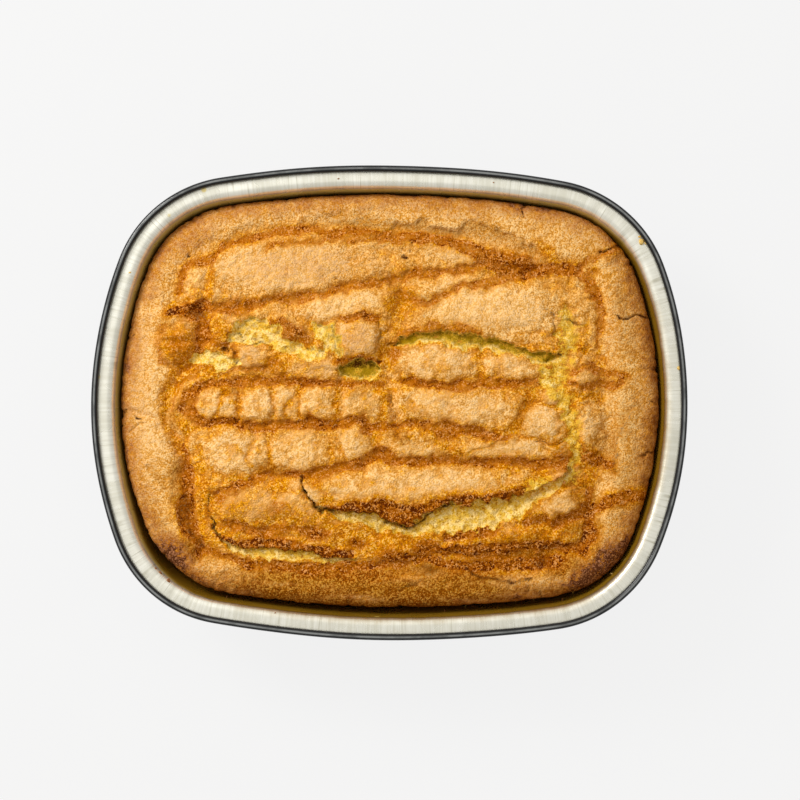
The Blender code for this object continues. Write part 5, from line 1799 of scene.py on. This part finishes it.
@dataclass(frozen=True)
class Cornbread:
    """The loaf: a square grid laid over its top, drawn down its side and under its foot."""

    plan: TinPlan
    foot: float = 0.8
    edge_inset: float = 10.1
    least_inset: float = 9.55
    lean_y: float = 1.5
    lean_x: float = 0.45
    swells: Points = (
        (-36.0, 13.0, -1.0), (-143.0, 13.0, 1.2), (-4.0, 24.0, -1.2), (180.0, 20.0, -0.4),
        (-180.0, 20.0, -0.4), (90.0, 30.0, 0.2),
    )
    waves: Roughness = Roughness(11.0, 5, 3)
    wave_depth: float = 0.38
    wave_least: float = -0.15
    bites: Roughness = Roughness(4.0, 9, 2)
    bite: Ramp = Ramp(0.25, 0.5)
    bite_depth: float = 0.45
    crags: Roughness = Roughness(2.6, 13, 2)
    crag_depth: float = 0.16
    side_lumps: Roughness = Roughness(5.0, 31, 3)
    side_rough: float = 0.35
    side_toast: float = 0.30
    most_masked: float = 1.35
    edge_height: float = 31.8
    round_over: float = 5.5
    crest: float = 1.0
    crest_at: float = 12.0
    crest_reach: float = 6.0
    crown: float = 3.0
    crown_reach: float = 46.0
    foot_inset: float = 12.0
    foot_height: float = 10.5
    foot_round: float = 8.4
    foot_turns: tuple[float, ...] = (25.0, 50.0, 72.0, 90.0)
    side_rings: int = 8
    top_rings: int = 144
    crowding: float = 0.25
    edge_steps: int = 500
    view_depth: float = 0.0062
    view_middle: tuple[float, float] = (20.8, -23.7)
    wander: float = 1.1
    wander_x: Roughness = Roughness(6.5, 101, 2)
    wander_y: Roughness = Roughness(6.5, 121, 2)
    tremble: float = 0.8
    tremble_x: Roughness = Roughness(2.6, 111, 2)
    tremble_y: Roughness = Roughness(2.6, 131, 2)
    calm: Ramp = Ramp(0.6, 5.0)
    highest: float = 43.6
    glaze: Glaze = Glaze()
    weather: Weather = Weather()

    def inset(self, x: Array, y: Array) -> Array:
        """How far the loaf's edge lies in from the rim, by direction."""
        turn = np.arctan2(y, x)
        inset = self.edge_inset - self.lean_y * np.sin(turn) + self.lean_x * np.cos(turn)
        for middle, reach, extra in self.swells:
            inset += extra * np.exp(-(((np.degrees(turn) - middle) / reach) ** 2))
        inset = np.maximum(inset, self.least_inset)
        waves = np.maximum(self.wave_depth * self.waves.at(x, y), self.wave_least)
        bites = self.bite_depth * self.bite.up(self.bites.at(x, y))
        return inset + waves + bites + self.crag_depth * self.crags.at(x, y)

    def edge(self) -> Array:
        """Where the grid's outermost top points lie, side by side from the lower right corner.

        Returns:
            Rows of the rim's x, y and normal, and the loaf's inset there, closed by the first again.
        """
        rim = self.plan.rim()[:-1, :4]
        line = np.column_stack([rim, self.inset(rim[:, 0], rim[:, 1])])
        corner = self.plan.corner()
        tilt = math.atan2(corner[1], corner[0])
        middles = (-tilt, tilt, math.pi - tilt, math.pi + tilt, 2 * math.pi - tilt)
        turns = np.unwrap(np.arctan2(line[:, 1], line[:, 0]))
        around = np.vstack([line, line, line])
        turns = np.concatenate([turns - 2 * math.pi, turns, turns + 2 * math.pi])
        sides = []
        for start, end in zip(middles, middles[1:]):
            wanted = np.linspace(start, end, 4 * self.edge_steps)
            stretch = read_off(wanted, turns, around)
            length = run_lengths(stretch)
            even = np.linspace(0, length[-1], self.edge_steps + 1)[:-1]
            sides.append(read_off(even, length, stretch))
        whole = np.vstack(sides)
        return np.vstack([whole, whole[:1]])

    def around_ring(self, a: Array, b: Array, ring: Array) -> Array:
        """How far round its square ring each grid point lies, from 0 to 4 sides."""
        size = np.maximum(ring, 1)
        right = (a == ring) & (b > -ring)
        top = (b == ring) & ~right
        left = (a == -ring) & ~top
        return np.select(
            [ring == 0, right, top, left],
            [0.0, (b + ring) / (2 * size), 1 + (ring - a) / (2 * size), 2 + (ring - b) / (2 * size)],
            3 + (a + ring) / (2 * size),
        )

    def side_levels(self, inset: Array, step: Array) -> tuple[Array, Array]:
        """Inset and height of the rings below the top's edge.

        Args:
            inset: The edge's own inset at each vertex.
            step: Rings down from the edge, from 1.

        Returns:
            The insets and heights.
        """
        part = np.minimum(step / self.side_rings, 1.0)
        lower = inset + (self.foot_inset - inset) * part
        height = self.edge_height + (self.foot_height - self.edge_height) * part
        for index, degrees in enumerate(self.foot_turns):
            turn = math.radians(degrees)
            here = step == self.side_rings + index + 1
            lower = np.where(here, self.foot_inset + self.foot_round * (1 - math.cos(turn)), lower)
            low = self.foot_height - (self.foot_height - self.foot) * math.sin(turn)
            height = np.where(here, low, height)
        return lower, height

    def build(self) -> Thing:
        """Lay the grid over the loaf, close its foot and keep its masks.

        Returns:
            The loaf.
        """
        rings = self.top_rings + self.side_rings + len(self.foot_turns)
        loaf = new_grid("torn_syrup_cornbread", 2 * rings, 2 * rings)
        column, row = grid_cells(loaf, 2 * rings, 2 * rings)
        a = column - rings
        b = row - rings
        ring = np.maximum(abs(a), abs(b))
        edge = self.edge()
        round_place = self.around_ring(a, b, ring) * self.edge_steps
        rim = read_off(round_place, np.arange(len(edge)), edge)
        part = np.minimum(ring / self.top_rings, 1.0)
        reach = part + self.crowding * np.sin(math.pi * part) / math.pi
        edge_x = rim[:, 0] - rim[:, 4] * rim[:, 2]
        edge_y = rim[:, 1] - rim[:, 4] * rim[:, 3]
        inward = (1 - reach) * (edge_x * rim[:, 2] + edge_y * rim[:, 3])
        x = edge_x * reach
        y = edge_y * reach
        on_side = ring > self.top_rings
        z, top = self.top_surface(x, y, inward)
        x = x + top.shift_x
        y = y + top.shift_y
        lower, height = self.side_levels(rim[:, 4], ring - self.top_rings)
        rough = self.side_rough * (1.0 + self.side_lumps.at(rim[:, 0] + height, rim[:, 1] - height))
        lower = lower + rough * (height > self.foot + 1.0)
        x = np.where(on_side, rim[:, 0] - lower * rim[:, 2], x)
        y = np.where(on_side, rim[:, 1] - lower * rim[:, 3], y)
        z = np.where(on_side, height, np.minimum(z, self.highest))
        write_vertices(loaf, np.column_stack([x, y, z]) * MM)
        for mask, values in top.masks.items():
            side_value = self.side_toast if mask is Mask.TOAST else 0.0
            values = np.where(on_side, side_value, values)
            store_mask(loaf, mask.value, np.clip(values, 0.0, self.most_masked))
        close_flat_hole(loaf)
        bpy.ops.object.shade_smooth()
        return loaf

    def top_surface(self, x: Array, y: Array, inward: Array) -> tuple[Array, TopField]:
        """Heights of the top and what covers it.

        Args:
            x: Places.
            y: Places.
            inward: How far inside the loaf's edge they lie.

        Returns:
            The heights, and the field with its shifts and masks.
        """
        seen_x = (x + self.view_middle[0] * self.view_depth) / (1 + self.view_depth)
        seen_y = (y + self.view_middle[1] * self.view_depth) / (1 + self.view_depth)
        ragged_x = seen_x + self.wander * self.wander_x.at(x, y) + self.tremble * self.tremble_x.at(x, y)
        ragged_y = seen_y + self.wander * self.wander_y.at(x, y) + self.tremble * self.tremble_y.at(x, y)
        zero = np.zeros(x.shape)
        far = zero + self.plan.length
        top = TopField(ragged_x, ragged_y, zero.copy(), zero.copy(), zero.copy(), zero.copy(), far, far,
                       {mask: zero.copy() for mask in Mask})
        for feature in (*FOLDS, *MOUNDS):
            feature.shape(top)
        self.glaze.shape(top, x, y, inward)
        for feature in TOP_FEATURES:
            feature.shape(top)
        self.weather.shape(top, x, y, inward)
        over = np.clip(inward / self.round_over, 0, 1)
        height = self.edge_height + self.round_over * np.sqrt(1 - (1 - over) ** 2)
        height += self.crest * np.exp(-(((inward - self.crest_at) / self.crest_reach) ** 2))
        height += self.crown * ease(inward / self.crown_reach)
        calm = self.calm.up(inward)
        top.shift_x *= calm
        top.shift_y *= calm
        return height + top.relief * calm, top

    def dress(self, loaf: Thing, effects: Effects) -> None:
        """Give the loaf its crust."""
        loaf.data.materials.clear()
        loaf.data.materials.append(CrustFinish().build(effects))


# Crumbs beside the loaf


class CrumbKind(Enum):
    """What a fallen crumb is."""

    YELLOW = "yellow"
    BROWN = "brown"


@dataclass(frozen=True)
class FallenCrumbs:
    """Crumbs of one kind that lie on the tin's flange or stick to its wall: x, y and size of each."""

    kind: CrumbKind
    places: Points
    finish: CrumbFinish
    tin: FoilTin
    flatness: float = 0.5
    sink: float = 0.3
    wall_from: float = 8.0
    off_wall: float = 0.75
    lumpy: float = 0.28
    lump_size: float = 0.9
    stretches: Span = (1.1, 1.6)
    apart: float = 7.0
    upright: float = 2.1
    seed: int = 900
    lump_seed: int = 300

    def build(self) -> Thing:
        """Model each crumb from a rounded ball and join them.

        Returns:
            The crumbs as one piece.
        """
        rim = self.tin.plan.rim()
        made = []
        for index, (x, y, size) in enumerate(self.places):
            apart = np.hypot(rim[:, 0] - x, rim[:, 1] - y)
            nearest = int(np.argmin(apart))
            inset = float(apart[nearest])
            level = self.tin.inner_height(inset)
            if inset > self.wall_from:
                x -= self.off_wall * size * rim[nearest, 2]
                y -= self.off_wall * size * rim[nearest, 3]
            bpy.ops.object.select_all(action="DESELECT")
            bpy.ops.mesh.primitive_ico_sphere_add(subdivisions=3, radius=size / 2 * MM, location=(0, 0, 0))
            crumb = bpy.context.active_object
            self.crumple(crumb, index, size)
            level += size / 2 * self.flatness * (1 - self.sink)
            crumb.data.transform(Matrix.Translation(Vector((x, y, level)) * MM))
            made.append(crumb)
        bpy.ops.object.select_all(action="DESELECT")
        for crumb in made:
            crumb.select_set(True)
        bpy.context.view_layer.objects.active = made[0]
        bpy.ops.object.join()
        piece = bpy.context.active_object
        piece.name = f"{self.kind.value}_crumbs"
        piece.data.name = piece.name
        bpy.ops.object.shade_smooth()
        return piece

    def crumple(self, crumb: Thing, index: int, size: float) -> None:
        """Make a ball lumpy, flat and longer one way."""
        places = read_vertices(crumb)
        random = np.random.default_rng(self.seed + index + 50 * len(self.kind.value))
        turn = random.uniform(0, math.pi)
        stretch = random.uniform(*self.stretches)
        lumps = Roughness(self.lump_size * size, self.lump_seed + index, 2)
        unit = places / (size / 2 * MM)
        across = unit[:, 0] * size + self.apart * index
        up = (unit[:, 1] + self.upright * unit[:, 2]) * size
        places *= (1.0 + self.lumpy * lumps.at(across, up))[:, None]
        along = places[:, 0] * math.cos(turn) + places[:, 1] * math.sin(turn)
        aside = places[:, 1] * math.cos(turn) - places[:, 0] * math.sin(turn)
        along *= stretch
        aside /= stretch**0.5
        x = along * math.cos(turn) - aside * math.sin(turn)
        y = along * math.sin(turn) + aside * math.cos(turn)
        write_vertices(crumb, np.column_stack([x, y, places[:, 2] * self.flatness]))

    def dress(self, piece: Thing, effects: Effects) -> None:
        """Give the crumbs their finish."""
        piece.data.materials.clear()
        piece.data.materials.append(self.finish.build(effects))


# The table, the lights and the camera


@dataclass(frozen=True)
class Studio:
    """A pale table, a bright soft surround, one soft key light and the camera over the tin, in metres."""

    floor_size: float = 8.0
    floor_height: float = -0.0002
    camera_place: Place = (0.020776, -0.023650, 0.7426)
    camera_turn: Place = (2.0112, 1.3192, 0.8630)
    sensor: float = 36.0
    lens: float = 84.812
    sky_bright: float = 1.06
    sky_dim: float = 0.57
    sky_toward: Place = (-0.48, 0.63, 0.62)
    sky_span: Span = (0.34, 0.86)
    sky_colour: Colour = (1.0, 0.965, 0.91)
    key_place: Place = (-0.55, 0.42, 0.60)
    key_colour: Colour = (1.0, 0.985, 0.96)
    key_size: float = 0.30
    key_power: float = 5.5

    def build(self) -> None:
        """Set up the whole studio."""
        self.lay_floor()
        self.light_sky()
        self.hang_key()
        self.stand_camera()
        bpy.context.scene.view_settings.view_transform = "Standard"

    def lay_floor(self) -> None:
        """A wide pale table top just under the tin."""
        floor = new_grid("table_top", 4, 4)
        places = read_vertices(floor) * self.floor_size
        places[:, 2] = self.floor_height
        write_vertices(floor, places)
        floor.data.materials.append(FloorFinish().build())

    def light_sky(self) -> None:
        """A surround that is brighter towards the back left and overhead."""
        world = bpy.data.worlds.new("soft_surround")
        world.use_nodes = True
        bpy.context.scene.world = world
        wiring = Wiring(world.node_tree)
        toward = Vector(self.sky_toward).normalized()
        view = wiring.node("ShaderNodeTexCoord").outputs["Generated"]
        facing = wiring.node("ShaderNodeVectorMath", {0: view, 1: tuple(toward)}, operation="DOT_PRODUCT")
        strength = wiring.remap(facing.outputs["Value"], *self.sky_span, self.sky_dim, self.sky_bright)
        background = world.node_tree.nodes["Background"]
        background.inputs["Color"].default_value = (*self.sky_colour, 1.0)
        wiring.feed(background.inputs["Strength"], strength)

    def hang_key(self) -> None:
        """The soft key light at the back left."""
        light = bpy.data.lights.new("key_light", "AREA")
        light.shape = "SQUARE"
        light.size = self.key_size
        light.energy = self.key_power
        light.color = self.key_colour
        lamp = bpy.data.objects.new("key_light", light)
        bpy.context.scene.collection.objects.link(lamp)
        lamp.location = self.key_place
        lamp.rotation_euler = (-Vector(self.key_place)).to_track_quat("-Z", "Y").to_euler()

    def stand_camera(self) -> None:
        """The camera almost straight above, tilted as in the photograph."""
        data = bpy.data.cameras.new("camera")
        data.sensor_width = self.sensor
        data.lens = self.lens
        camera = bpy.data.objects.new("camera", data)
        bpy.context.scene.collection.objects.link(camera)
        camera.location = self.camera_place
        camera.rotation_euler = tuple(math.radians(turn) for turn in self.camera_turn)
        bpy.context.scene.camera = camera


# Where the crumbs lie: x, y and size of each

YELLOW_PLACES = (
    (93.2, 61.0, 2.0), (94.4, 62.2, 1.5), (95.2, 60.6, 1.4), (92.6, 62.8, 0.9), (107.6, 14.0, 1.3),
    (96.4, -36.2, 0.6), (93.4, -45.2, 0.6), (91.4, -51.8, 0.7), (70.8, -71.2, 0.7), (55.8, -74.2, 0.5),
    (49.2, -75.0, 0.5), (-12.0, -77.6, 0.6), (12.0, -78.0, 0.5), (30.0, -77.2, 0.5), (84.6, -63.2, 0.6),
    (-30.0, -77.2, 0.5), (-97.6, 47.0, 0.7),
)
BROWN_PLACES = (
    (-81.0, -67.9, 1.5), (-84.2, -65.0, 1.2), (-86.0, -63.4, 0.9), (-41.0, -79.2, 0.7), (-60.5, -74.6, 0.6),
    (22.0, -78.6, 0.6), (66.4, -73.4, 0.6), (88.6, -57.6, 0.7), (-20.0, 83.2, 0.6), (38.0, 82.4, 0.5),
)
YELLOW_CRUMB = CrumbFinish("yellow_crumb", (0.72, 0.40, 0.06), (0.90, 0.66, 0.22))
BROWN_CRUMB = CrumbFinish("brown_crumb", (0.16, 0.055, 0.012), (0.38, 0.15, 0.035))


def report(piece: Thing) -> None:
    """Say how large a finished piece is."""
    faces = sum(len(face.vertices) - 2 for face in piece.data.polygons)
    sides = (side / MM for side in piece.dimensions)
    LOG.info("%s: %d triangles, %.1f x %.1f x %.1f mm", piece.name, faces, *sides)


def main() -> None:
    """Load the frame, build and dress each piece, and set up the studio."""
    logging.basicConfig(level=logging.INFO, format="%(name)s: %(message)s")
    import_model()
    effects = Effects.build()
    plan = TinPlan()
    tin_maker = FoilTin(plan, top=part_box("foil_tin")[1].z / MM)
    tin = tin_maker.build(effects)
    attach(tin, BODY)
    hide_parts("foil_tin")
    report(tin)

    loaf_maker = Cornbread(plan)
    loaf = loaf_maker.build()
    loaf_maker.dress(loaf, effects)
    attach(loaf, BODY)
    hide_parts("cornbread")
    report(loaf)

    for kind, places, finish in (
        (CrumbKind.YELLOW, YELLOW_PLACES, YELLOW_CRUMB),
        (CrumbKind.BROWN, BROWN_PLACES, BROWN_CRUMB),
    ):
        maker = FallenCrumbs(kind, places, finish, tin_maker)
        piece = maker.build()
        maker.dress(piece, effects)
        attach(piece, BODY)
        report(piece)

    Studio().build()


if __name__ == "__main__":
    main()
